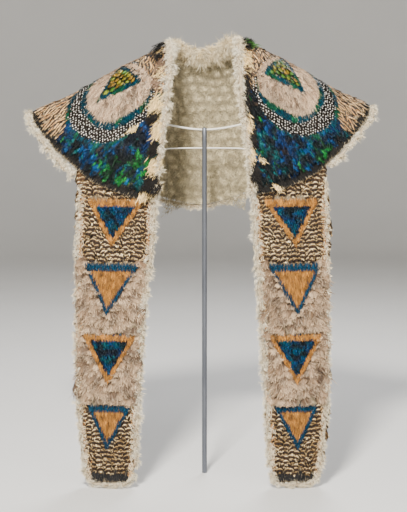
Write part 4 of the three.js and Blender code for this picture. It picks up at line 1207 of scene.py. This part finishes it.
def cape_tints(field, marks, random):
    """Colour of each feather of one field of the cape."""
    count = len(marks)
    if field in ("breast_field", "breast_field_back"):
        return gleaming(marks, random)
    if field == "scale_triangle":
        kinds = np.array([(0.34, 0.29, 0.012), (0.08, 0.22, 0.02), (0.42, 0.24, 0.012),
                          (0.22, 0.26, 0.012)])
        return kinds[random.integers(0, 4, count)] * random.uniform(0.4, 0.95, (count, 1))
    if field in ("teal_crescent", "outer_crescent", "triangle_border"):
        blue = shade_of((0.001, 0.022, 0.034), (0.003, 0.075, 0.12), random, count)
        green = shade_of((0.002, 0.045, 0.032), (0.006, 0.12, 0.055), random, count)
        return np.where((waves(*marks.T, 60, 21) > 0.35)[:, None], green, blue)
    if field == "pale_oval":
        tints = shade_of((0.30, 0.18, 0.105), (0.60, 0.42, 0.27), random, count)
        low_inside = near(np.abs(marks), 138, 122, 36)
        dusky = (random.random(count) < 0.10 + 0.75 * low_inside)[:, None]
        return np.where(dusky, shade_of((0.07, 0.045, 0.03), (0.20, 0.135, 0.09), random, count), tints)
    if field == "spotted_crescent":
        return shade_of((0.006, 0.005, 0.004), (0.026, 0.020, 0.016), random, count)
    if field == "hem_band":
        return shade_of((0.006, 0.006, 0.006), (0.02, 0.018, 0.016), random, count)
    tan = shade_of((0.40, 0.19, 0.055), (0.90, 0.58, 0.26), random, count)
    return tan * (1 + 0.15 * waves(*marks.T, 80, 31))[:, None]


RIMS = {"pale_oval": (rings[0], 5.5), "spotted_crescent": (rings[2], 2.0)}


def with_rim(marks, ring, step, inset):
    """Marks kept off a ring, and closer ones set in a row just inside it, on both shoulders."""
    closed = np.vstack([ring, ring[:1]])
    far = np.abs(marks[:, 0])
    kept = marks[distance_to(far, marks[:, 1], closed) > step]
    row = evenly(closed, step)[:-1]
    row = row - unit(row - ring.mean(0)) * inset
    return np.vstack([kept, row, row * (-1, 1)])


def make_cape_coats():
    """Every field of the cape, on both shoulders, or in one piece where it crosses the middle."""
    triangle_line = np.vstack([scale_triangle, scale_triangle[:1]])
    for i, (field, row) in enumerate(CAPE_COATS.items()):
        across, along, length, width, form, heading, material, slot, base, rise, jitter = row
        random = np.random.default_rng(SEEDS["cape"] + i)
        marks = lattice(*CAPE_REACH, across, along, random)
        marks = marks[cape_field(*marks.T) == field]
        if field == "breast_field":
            marks = marks[distance_to(np.abs(marks[:, 0]), marks[:, 1], front_edge) > 6]
        if field in RIMS:
            ring, inset = RIMS[field]
            marks = with_rim(marks, ring, along * 0.55, inset)
        both = field in ("hem_band", "breast_field_back")
        for side, sign in ((("", 0),) if both else (("_left", -1), ("_right", 1))):
            here = marks if both else marks[marks[:, 0] * sign > 0]
            headings = turned(heading(here), random.normal(0, jitter, len(here)))
            if field == "pale_oval":
                length = np.clip(distance_to(np.abs(here[:, 0]), here[:, 1], triangle_line) + 7, 12, 30)
            lay_field(field + side, on_cape, here, headings, (length, width), form, material, slot,
                      cape_tints(field, here, random), random, rise, base, mark=CAPE_MARKS.get(field, 0.88),
                      on_cloth=field == "spotted_crescent")


# Feather fields of the lappets

def lappet_row(field):
    """Across, along, length, width, form, material, slot, base, rise and jitter angle of a field."""
    if field.startswith("barred"):
        return 11, 8.6, 25, 16, SMALL_BLADE, BARRED, "barred_feather", 0.3, 2.6, 0.16
    if field == "pale_field":
        return 11.5, 14, 36, 20, PETAL, PALE, "pale_feather", 0.3, 7.0, 0.3
    if field == "end_band":
        return 1.5, 2.6, 16, 1.4, "hair", BLACK, "black_feather", 0.3, 2.0, 0.18
    number = int(field[-1])
    if field.startswith("triangle") and number in (1, 3):
        return 5.0, 6.0, 17, 7.5, SMALL_BLADE, GLOSSY, "blue_green_feather", 1.6, 2.4, 0.25
    if field.startswith("triangle"):
        return 1.3, 2.8, 18, 1.2, "hair", ORANGE, "orange_feather", 1.6, 2.6, 0.14
    if number in (1, 3):
        return 1.3, 2.4, 12, 1.3, "hair", ORANGE, "orange_feather", 1.4, 2.4, 0.3
    return 1.4, 2.4, 12, 1.4, "hair", TEAL, "teal_feather", 1.4, 2.4, 0.25


def lappet_tints(marks, random, kind):
    """Colour of each feather of one field of a lappet, by its kind."""
    count = len(marks)
    if kind is BARRED:
        inner, outer = lappet_edges(marks[:, 1])
        side = np.abs((np.abs(marks[:, 0]) - inner) / (outer - inner) * 2 - 1)
        rust = smoothstep(side, 0.8, 1.0)[:, None] * random.random(count)[:, None]
        dark = shade_of((0.02, 0.014, 0.01), (0.06, 0.035, 0.02), random, count)
        return dark * (1 - rust) + np.array((0.36, 0.17, 0.06)) * rust
    if kind is PALE:
        tints = shade_of((0.24, 0.145, 0.08), (0.54, 0.38, 0.24), random, count)
        dusky = (random.random(count) < 0.28)[:, None]
        return np.where(dusky, shade_of((0.09, 0.055, 0.035), (0.20, 0.135, 0.09), random, count), tints)
    if kind is BLACK:
        return shade_of((0.010, 0.010, 0.011), (0.035, 0.034, 0.035), random, count)
    if kind is GLOSSY:
        weights = [np.exp(2.0 * waves(*marks.T, 26, seed)) * random.uniform(0.2, 1.8, count)
                   for seed in (41, 42, 43)]
        return blend_colours([BLUE, DEEP_BLUE, TEAL_GREEN], np.stack(weights, axis=1))
    if kind is ORANGE:
        x, y = marks.T
        tone = (0.82 + 0.42 * waves(x, y, 18, 51))[:, None]
        return shade_of((0.22, 0.08, 0.012), (0.66, 0.29, 0.05), random, count) * tone
    return shade_of((0.001, 0.014, 0.028), (0.003, 0.055, 0.12), random, count)


def make_lappet_coats():
    """Every field of both lappets, each tile and border a little higher than what it lies on."""
    fields = ["barred_upper", "pale_field", "barred_lower", "end_band"]
    fields += [f"{word}_{i}" for i in (1, 2, 3, 4) for word in ("triangle", "border")]
    for side, sign in SIDES:
        for i, field in enumerate(fields):
            across, along, length, width, form, kind, slot, base, rise, jitter = lappet_row(field)
            base = base + (3.8 if field[-1] in "23" else 0.6 if field[-1] in "14" else 0)
            base = base + (1.4 if field.startswith("border") else 0)
            random = np.random.default_rng(SEEDS["lappets"] + 20 * (sign + 1) + i)
            marks = lattice(*LAPPET_REACH, across, along, random) * (sign, 1)
            inner, outer = lappet_edges(marks[:, 1])
            far = np.abs(marks[:, 0])
            on_it = (far > inner - 1) & (far < outer + 5)
            clipped = sign * np.clip(far, inner + 0.1, outer - 0.1)
            marks = marks[on_it & (lappet_field(clipped, marks[:, 1]) == field)]
            marks = marks[marks[:, 1] < hem_height(marks[:, 0]) + 6]
            soft = form is PETAL
            if form != "hair":
                below = lappet_field(marks[:, 0], marks[:, 1] - 4)
                marks = marks[(below == field) | ~np.char.startswith(below, "border")]
            if soft:
                far = np.abs(marks[:, 0])
                near_tile = [distance_to(far, marks[:, 1], np.vstack([tile, tile[:1]]))
                             for _, tile in tile_shapes]
                length = np.clip(np.min(near_tile, axis=0) + 9, 13, length)
            spread = 0.5 * (np.abs(marks[:, 0]) - 177) / 50 * soft
            down = unit(np.column_stack([sign * spread, np.full(len(marks), -1.0)]))
            headings = turned(down, random.normal(0, jitter, len(marks)))
            lay_field(f"{field}_{side}", on_lappet, marks, headings, (length, width), form, kind, slot,
                      lappet_tints(marks, random, kind), random, rise, base, roll=0.14,
                      mark=1.0 if soft else 0.88, full=6 if soft else 3)


# White down edging

def beside(line, wide, turn, clear):
    """A line moved sideways on the flat cloth by the edging's half width and a clearance."""
    line = np.asarray(line, float)
    along = along_line(line)
    return line + np.stack([along[:, 1], -along[:, 0]], axis=1) * (turn * (wide + clear))[:, None]


def down_frames(chart, line, wide, thick, middle=2.1):
    """Centres and directions of a roll that follows a line on the cloth, set again at even steps
    along its way in space, with its half width and half thickness at each."""
    centre = chart(*line.T, np.full(len(line), middle))
    out = chart(*line.T, np.full(len(line), middle + 1)) - centre
    length = np.linalg.norm(np.diff(centre, axis=0), axis=1).sum()
    sizes = spaced(np.column_stack([centre, out * 0.01, wide * 0.01, thick * 0.01]),
                   int(length / DOWN_STEP))
    centre, out = sizes[:, :3], unit(sizes[:, 3:6])
    wide, thick = sizes[:, 6] * 100, sizes[:, 7] * 100
    along = along_line(centre)
    across = unit(np.cross(along, out))
    return centre, along, across, unit(np.cross(across, along)), wide, thick


def roll_core(centre, across, up, wide, thick, seed):
    """Closed lumpy core of a roll: rings of ten points, uneven by two waves, narrowed at both ends."""
    count, sides = len(centre), 10
    angle = 2 * math.pi * np.arange(sides)[None] / sides
    way = np.arange(count)[:, None] * float(DOWN_STEP)
    swell = DOWN_CORE + 0.10 * waves(way, angle * 9, 26, seed) + 0.07 * waves(way, angle * 20, 11, seed + 1)
    ends = np.minimum(1, np.minimum(np.arange(count), np.arange(count)[::-1]) / 2.5 + 0.15)[:, None]
    core = centre[:, None] + (across[:, None] * (wide[:, None] * swell * ends * np.cos(angle))[..., None]
                              + up[:, None] * (thick[:, None] * swell * ends * np.sin(angle))[..., None])
    core[..., 2] = np.maximum(core[..., 2], 0)
    loops, totals = tube_faces(count, sides)
    if volume(core.reshape(-1, 3) - core.mean((0, 1)), loops, totals) < 0:
        loops = turned_over(loops, totals)
    return core, loops, totals


def down_roll(name, node, chart, line, wide, thick, seed, tufts, per_tuft, length, tone=(1, 1, 1)):
    """Fluffy edging: a lumpy closed roll painted dark as the shade inside the fluff, and tufts of slim
    barbs that fan out of it, each painted darker towards its root as shade.
    """
    random = np.random.default_rng(seed)
    centre, along, across, up, wide, thick = down_frames(chart, line, wide, thick)
    count = len(centre)
    core, core_loops, core_totals = roll_core(centre, across, up, wide, thick, seed)

    place = random.random(tufts) * (count - 1)
    turn_at = random.uniform(0, 2 * math.pi, tufts)
    many = np.repeat(np.arange(tufts), per_tuft)
    n = len(many)
    at = np.clip(place[many] + random.normal(0, 0.5, n), 0, count - 1.001)
    theta = turn_at[many] + random.normal(0, 0.26, n)
    i = at.astype(int)
    t = (at - i)[:, None]
    pick = lambda v: v[i] * (1 - t) + v[i + 1] * t
    c, a, x, u = pick(centre), pick(along), pick(across), pick(up)
    w, h = pick(wide[:, None]), pick(thick[:, None])
    cosine, sine = np.cos(theta)[:, None], np.sin(theta)[:, None]
    radial = unit(x * cosine / w + u * sine / h)
    around = unit(np.cross(a, radial))
    root = c + (x * w * cosine + u * h * sine) * 0.45
    sweep = random.uniform(0, 2 * math.pi, tufts)[many] + random.normal(0, 0.4, n)
    flat = a * np.cos(sweep)[:, None] + around * np.sin(sweep)[:, None]
    fall = np.array((0, 0, -0.45))
    curl = random.normal(0, 0.28, (n, 3))
    uneven = 1 + 0.35 * waves(place * 4.0, turn_at * 6, 34, seed + 2)
    each_tuft = uneven * (0.45 + 1.2 * random.random(tufts) ** 2.2)
    size = length * each_tuft[many] * random.uniform(0.7, 1.15, n)
    size = size[:, None] * (0.5 + 0.05 * np.minimum(w, 12))
    first = root + unit(radial + flat * 0.35 + curl * 0.2) * size * 0.38
    second = first + unit(radial * 0.7 + flat * 0.7 + fall + curl * 0.6) * size * 0.34
    tip = second + unit(radial * 0.45 + flat * 0.9 + fall * 1.6 + curl * 1.2) * size * 0.34
    paths = np.stack([root, first, second, tip], axis=1)
    paths[..., 2] = np.maximum(paths[..., 2], np.array((0.8, 0.6, 0.4, 0.3)))
    widths = random.uniform(0.45, 1.0, n)
    points, faces = ribbons(paths, widths, unit(radial + random.normal(0, 0.9, (n, 3))))
    loops, totals = joined(points.reshape(-1, 3), faces, n)
    total_points = np.concatenate([core.reshape(-1, 3), points.reshape(-1, 3)])
    # Painted shade: each barb darker towards its root, inside the fluff, times a random tone for its tuft.
    shade = random.uniform(0.86, 1.0, tufts)[many][:, None] * np.array((0.30, 0.66, 0.66, 0.95, 0.95, 1.05))
    warm = random.uniform(0, 1, tufts)[many][:, None] ** 3
    tint = np.stack([shade, shade * (0.95 - 0.07 * warm), shade * (0.83 - 0.20 * warm)], axis=-1)
    tint = tint.reshape(-1, 3) * tone
    # Painted shade: the core is dark brown, standing for the shade inside the fluff.
    core_painted_shade = np.full((core.size // 3, 3), (0.42, 0.35, 0.26))
    return mesh_piece(name, total_points, np.concatenate([core_loops, loops + core.size // 3]),
                      np.concatenate([core_totals, totals]), DOWN_WHITE, "white_down", [node],
                      tint=np.concatenate([core_painted_shade, tint]), closed=False)


def make_down():
    """Edging of the neck, the hem, the two front edges and the outer side and end of each lappet."""
    collar = evenly(neck_arc[neck_arc[:, 1] < -14], DOWN_STEP)
    rise = smoothstep(1 - np.abs(2 * np.arange(len(collar)) / (len(collar) - 1) - 1), 0, 0.6)
    wide_at = between(DOWN["neck"], DOWN["collar"], smoothstep(-collar[:, 1], 10, 70))
    down_roll("down_neck", "neck_down", on_cape, beside(collar, wide_at, 1, -GAP),
              between(DOWN["neck"], DOWN["collar"], rise),
              between(DOWN_THICK["neck"], DOWN_THICK["collar"], rise),
              seed=SEEDS["neck_down"], tufts=1150, per_tuft=14, length=13, tone=(0.88, 0.83, 0.72))

    hem = evenly(hem_line[(hem_line[:, 1] < 0) | (np.abs(hem_line[:, 0]) > 236)], DOWN_STEP)
    far = np.abs(hem[:, 0])
    in_front = hem[:, 1] > -60
    clumps = np.where(hem[:, 0] < 0, 2.5 * np.exp(-((far - 262) / 26) ** 2),
                      2.0 * np.exp(-((far - 330) / 12) ** 2) - 1)
    hem_wide = between(DOWN["back_hem"], DOWN["hem"], smoothstep(far, 90, 250)) + clumps * in_front
    hem_wide = hem_wide * (1 + 0.36 * smoothstep(far, 200, 240) * waves(*hem.T, 21, 305) * in_front)
    down_roll("down_hem", "hem_down", on_cape, beside(hem, hem_wide, -1, 2 * GAP), hem_wide,
              np.full(len(hem), DOWN_THICK["hem"]),
              seed=SEEDS["hem_down"], tufts=1900, per_tuft=12, length=9.5)

    outline = lappet_outline()
    corner_top = LAPPET_END + LAPPET_CORNER + 4
    for side, sign in SIDES:
        edge = evenly(np.vstack([[(NECK_HALF_WIDTH, -4)], front_edge]), DOWN_STEP)
        edge = edge[edge[:, 1] < 315]
        wide = between(DOWN["front_top"], DOWN["front_low"], np.clip(edge[:, 1] / 240, 0, 1))
        cape_path = beside(edge * (sign, 1), wide, -sign, GAP)
        heights = np.arange(540, corner_top, -DOWN_STEP, dtype=float)
        inner = np.column_stack([lappet_edges(heights)[0], heights])
        inner_wide = np.full(len(inner), float(DOWN["inner"]))
        lappet_path = beside(inner * (sign, 1), inner_wide, sign, -DOWN_LAP)

        def cape_then_lappet(a, b, height, split=len(cape_path)):
            """The cape's chart as far as its foot, and the lappet's below it."""
            first = on_cape(a[:split], b[:split], height[:split])
            return np.vstack([first, on_lappet(a[split:], b[split:], height[split:])])

        down_roll(f"down_front_{side}", f"front_down_{side}", cape_then_lappet,
                  np.vstack([cape_path, lappet_path]), np.concatenate([wide, inner_wide]),
                  np.full(len(wide) + len(inner), DOWN_THICK["front"]),
                  seed=SEEDS["front_down"] + sign, tufts=1700, per_tuft=12, length=9.5)

        end_height = float(hem_height(sign * 236.0)) - 22
        low = outline[(outline[:, 1] < corner_top) & (outline[:, 1] > 0)]
        sides_up = np.arange(corner_top, end_height, DOWN_STEP, dtype=float)
        ring = np.vstack([[(lappet_edges(corner_top - 6)[0], corner_top - 6)], low,
                          np.column_stack([lappet_edges(sides_up)[1], sides_up])])
        ring = evenly(ring, DOWN_STEP)
        side_wide = DOWN["side"] - SIDE_NARROWS * smoothstep(ring[:, 1], 150, 420)
        down_roll(f"down_lappet_{side}", f"lappet_down_{side}", on_lappet,
                  beside(ring * (sign, 1), side_wide, sign, -DOWN_LAP), side_wide,
                  np.full(len(ring), DOWN_THICK["side"]),
                  seed=SEEDS["lappet_down"] + sign, tufts=1300, per_tuft=12, length=9.5)


# Stand

def tube(name, path, radius, material, slot, node, sides=16):
    """Smooth round bar along a path: rings across it, with rounded ends of smaller rings."""
    path = np.asarray(path, float)
    radius = np.broadcast_to(np.asarray(radius, float), (len(path),)).copy()
    along = along_line(path)
    side = unit(np.cross(along, np.array((0.02, 1.0, 0.01))))
    other = np.cross(along, side)
    bow = np.cos(np.linspace(QUARTER, 0, 5))[:-1]
    start = path[0] - along[0] * (np.sqrt(1 - bow ** 2) * radius[0] * 0.6)[:, None]
    finish = path[-1] + along[-1] * (np.sqrt(1 - bow[::-1] ** 2) * radius[-1] * 0.6)[:, None]
    centres = np.vstack([start, path, finish])
    sizes = np.concatenate([np.maximum(bow, 0.05) * radius[0], radius,
                            np.maximum(bow[::-1], 0.05) * radius[-1]])
    side, other = (np.vstack([np.repeat(v[:1], 4, axis=0), v, np.repeat(v[-1:], 4, axis=0)])
                   for v in (side, other))
    angle = 2 * math.pi * np.arange(sides) / sides
    ring = centres[:, None] + sizes[:, None, None] * (side[:, None] * np.cos(angle)[None, :, None]
                                                      + other[:, None] * np.sin(angle)[None, :, None])
    return mesh_piece(name, ring, *tube_faces(len(centres), sides), material, slot, [node])


def make_stand():
    """Rod, the two wires that run out from it and up to the arms, and the two padded arms."""
    heights = np.array([0, 1, 60, 200, 400, 600, 640, 670, ROD_TOP - 2, ROD_TOP - 1, ROD_TOP - 0.3,
                        ROD_TOP])
    rings = np.array([ROD_RADIUS] * 9 + [ROD_RADIUS - 0.6, ROD_RADIUS - 1.8, ROD_RADIUS - 3.2])
    angle = 2 * math.pi * np.arange(32) / 32
    body = np.stack([rings[:, None] * np.cos(angle), rings[:, None] * np.sin(angle),
                     heights[:, None] + 0 * angle], axis=-1)
    mesh_piece("rod_bar", body, *tube_faces(len(heights), 32), STEEL, "rod_steel", ["rod"])
    clear = LINING + 2 * GAP + 2 * ARM_RADIUS - 0.4
    for name, row in (("upper_wire", UPPER_WIRE), ("lower_wire", LOWER_WIRE)):
        radius, height, arm_x, bend_x, rise = row
        points = []
        for sign in (-1, 1):
            end = on_cape(sign * arm_x, 0.0, -clear) * (1, 0, 1)
            before = on_cape(sign * arm_x, 0.0, -clear - 26) * (1, 0, 1)
            bend = [(sign * (bend_x + 20), 0, height + rise + 14)]
            bend += [(sign * x, 0, height + rise * (x / bend_x) ** 2)
                     for x in (bend_x, 0.66 * bend_x, 0.33 * bend_x)]
            half = [end, before, *bend, (sign * (ROD_RADIUS + 3), 0, height)]
            points += half if sign < 0 else half[::-1]
        tube(f"{name}_bar", smooth_line(points, 90), radius, WHITE_WIRE, "white_wire", name)
    for side, sign in SIDES:
        x = sign * np.linspace(ARM_FROM, ARM_END, 40)
        centre = on_cape(x, 0 * x, np.full(len(x), -(LINING + 2 * GAP + ARM_RADIUS)))
        centre[:, 1] = 0
        end = np.minimum(np.arange(40), np.arange(40)[::-1]) / 6
        pad = tube(f"arm_pad_{side}", centre, ARM_RADIUS * (0.7 + 0.3 * np.minimum(1, end)), ARM_COVER,
                   "arm_cover", f"arm_{side}", 24)


# Tufts on the cape besides its fields: place x and run, spread across and along, heading,
# how many, length, and colour
CREAM, SPIKE = (1.0, 0.74, 0.34), (0.010, 0.008, 0.007)
DUSKY, MOSS = (0.26, 0.165, 0.11), (0.05, 0.20, 0.02)
TUFTS = [(-84, 12, 6, 10, (-0.5, 1), 90, 18, SPIKE), (-94, 32, 8, 7, (-0.9, 0.8), 70, 18, SPIKE),
         (-90, 54, 7, 6, (-0.9, 0.5), 60, 18, SPIKE), (-84, 36, 4, 10, (-0.4, 1), 60, 13, CREAM),
         (-86, 78, 6, 12, (-0.7, 1), 130, 15, DUSKY), (-90, 108, 7, 10, (-0.7, 0.9), 130, 15, DUSKY),
         (-84, 96, 4, 14, (-0.4, 1), 90, 13, CREAM), (86, 12, 6, 7, (0.5, -0.5), 120, 18, SPIKE),
         (91, 30, 8, 9, (0.6, 1), 170, 13, MOSS), (84, 40, 4, 9, (0.6, 1), 100, 15, SPIKE),
         (84, 84, 5, 24, (0.7, 1), 170, 14, CREAM), (88, 100, 6, 16, (0.8, 0.7), 90, 14, DUSKY),
         (-94, 158, 8, 14, (-0.8, 0.8), 240, 16, CREAM), (-91, 205, 6, 15, (-0.7, 1), 190, 15, CREAM),
         (-101, 178, 6, 5, (-1, 0.6), 110, 16, SPIKE), (-99, 238, 6, 8, (-1, 0.5), 120, 17, SPIKE),
         (-98, 272, 6, 15, (-0.6, 1), 200, 16, CREAM), (-104, 300, 8, 7, (-1, 0.8), 150, 18, SPIKE),
         (-108, 320, 13, 5, (-0.3, 1), 130, 18, CREAM), (-97, 316, 9, 5, (-0.9, 1), 90, 18, SPIKE),
         (-135, 178, 6, 4, (-0.5, 1), 36, 12, CREAM), (84, 148, 4, 40, (0.8, 1), 160, 13, SPIKE),
         (87, 205, 3, 12, (0.7, 1), 80, 14, CREAM), (92, 262, 3, 13, (0.7, 1), 90, 14, CREAM),
         (96, 232, 4, 10, (1, 0.7), 70, 14, SPIKE), (100, 296, 6, 14, (0.8, 1), 130, 16, SPIKE),
         (112, 262, 4, 4, (0.7, 1), 26, 11, CREAM), (140, 300, 4, 3, (0.2, 1), 26, 12, CREAM)]


def make_tufts():
    """Loose spiky and curly feathers gathered in tufts along the front edges and at the neck."""
    random = np.random.default_rng(SEEDS["tufts"])
    marks, headings, lengths, tints, bases = [], [], [], [], []
    for x, run, wide, long, heading, count, length, colour in TUFTS:
        marks.append(np.column_stack([random.normal(x, wide / 1.6, count),
                                      random.normal(run, long / 1.6, count)]))
        way = unit(np.tile(heading, (count, 1)).astype(float))
        headings.append(turned(way, random.normal(0, 0.45, count)))
        lengths.append(np.full(count, float(length)))
        tints.append(np.array(colour) * random.uniform(0.6, 1.3, (count, 1)))
        bases.append(np.full(count, 6.0 if colour in (SPIKE, MOSS) else 2.0))
    marks = np.vstack(marks)
    marks[:, 0] = np.sign(marks[:, 0]) * np.maximum(np.abs(marks[:, 0]), 74)
    hair_coat("loose_tufts", on_cape, marks, np.vstack(headings), np.concatenate(lengths), 1.4, TUFTED,
              "brown_feather", [], np.vstack(tints), random, rise=7.0, base=np.concatenate(bases),
              bend=0.35)


def make_side_tufts():
    """Curly cream and rusty barbs down both edges of each lappet, between its fields and the down."""
    for side, sign in SIDES:
        random = np.random.default_rng(SEEDS["side_tufts"] + sign)
        count = 1200
        z = random.uniform(20, 560, count)
        inner, outer = lappet_edges(z)
        at_outer = random.random(count) < 0.5
        inset = np.abs(random.normal(0, 2.2, count))
        x = np.where(at_outer, outer - inset, inner + inset)
        shows = z < hem_height(sign * x) - 4
        marks = np.column_stack([sign * x, z])[shows]
        outwards = np.where(at_outer, 1, -1)[shows] * sign
        count = len(marks)
        headings = unit(np.column_stack([outwards * random.uniform(-0.2, 1.0, count),
                                         -random.uniform(0.3, 1, count)]))
        rusty = (random.random(count) < 0.3 + 0.25 * (marks[:, 1] > BARRED_END))[:, None]
        tints = np.where(rusty, shade_of((0.36, 0.15, 0.04), (0.62, 0.34, 0.13), random, count),
                         shade_of((0.62, 0.48, 0.30), (0.92, 0.80, 0.60), random, count))
        hair_coat(f"edge_barbs_{side}", on_lappet, marks, headings, 12, 1.3, TUFTED, "pale_feather", [],
                  tints, random, rise=4.5, base=1.5, bend=0.35)


def make_lining_fuzz():
    """Short loose fibres on the inner face of the lining where the neck opening shows it."""
    random = np.random.default_rng(SEEDS["lining_fuzz"])
    marks = lattice(*THROAT_REACH, 2.5, 2.8, random, jitter=0.5)
    marks = marks[distance_to(*marks.T, neck_arc) > 6]
    lump = lump_at(marks[:, 0], cape_point(*marks.T)[..., 2])
    # Painted light and shade: fibres lighter on the lumps and darker in the hollows.
    tints = np.array((0.62, 0.53, 0.34)) * (0.50 + 0.62 * lump)[:, None]
    tints = tints * random.uniform(0.75, 1.15, (len(marks), 1))
    headings = turned(np.tile((0.0, -1.0), (len(marks), 1)), random.normal(0, 1.1, len(marks)))
    hair_coat("lining_fuzz", inside_cape, marks, headings, 7, 1.1, LINING_FIBRE, "lining", [], tints,
              random, rise=3.0, base=0.2, bend=0.4)


def inside_cape(x, run, height):
    """The lining's inner face: heights count inwards from it, over its lumps."""
    return on_cape(x, run, lumps(x, run) - (height - GROUND))


make_stand()
make_lining_fuzz()
make_tufts()
make_side_tufts()
make_cape_coats()
make_lappet_coats()
make_down()


# Floor, backdrop and light

def backdrop():
    """Pale floor that turns up all round into a wall: a profile of radius and height turned about
    the upright axis."""
    bend = np.linspace(0, QUARTER, 12)
    profile = [(1, 0), (1500, 0)] + [(3900 + 1300 * math.sin(t), 1300 - 1300 * math.cos(t)) for t in bend]
    profile = np.array(profile + [(5200, 6500)], float)
    angle = np.linspace(0, 2 * math.pi, 65)[None]
    points = np.stack([profile[:, :1] * np.sin(angle), -profile[:, :1] * np.cos(angle),
                       profile[:, 1:] + 0 * angle], axis=-1)
    quads = grid_faces(len(profile), 65)
    mesh = bpy.data.meshes.new("backdrop")
    mesh.from_pydata((points.reshape(-1, 3) * MM).tolist(), [], quads.tolist())
    mesh.shade_smooth()
    mesh.materials.append(stage_material())
    sheet = bpy.data.objects.new("backdrop", mesh)
    bpy.context.scene.collection.objects.link(sheet)


backdrop()


def softbox(name, place, target, size, power, colour=(1, 1, 1)):
    """Round area light that faces its target."""
    light = bpy.data.lights.new(name, "AREA")
    light.shape, light.size, light.energy, light.color = "DISK", size, power, colour
    lamp = bpy.data.objects.new(name, light)
    lamp.location = place
    direction = np.array(target, float) - np.array(place, float)
    flat = math.hypot(direction[0], direction[1])
    lamp.rotation_euler = (math.atan2(flat, -direction[2]), 0, math.atan2(-direction[0], direction[1]))
    bpy.context.scene.collection.objects.link(lamp)


softbox("key_light", (-0.45, -2.35, 2.6), (0, 0, 0.5), size=0.5, power=300, colour=(1, 0.95, 0.86))
softbox("fill_light", (1.5, -2.2, 1.3), (0, 0, 0.5), size=1.2, power=20, colour=(1, 0.98, 0.95))
softbox("back_light", (0.4, 1.5, 2.3), (0, 0, 0.6), size=1.0, power=60)
world = bpy.data.worlds.new("soft_room")
world.use_nodes = True
world.node_tree.nodes["Background"].inputs["Color"].default_value = (1.0, 0.98, 0.95, 1)
world.node_tree.nodes["Background"].inputs["Strength"].default_value = 0.07
bpy.context.scene.world = world
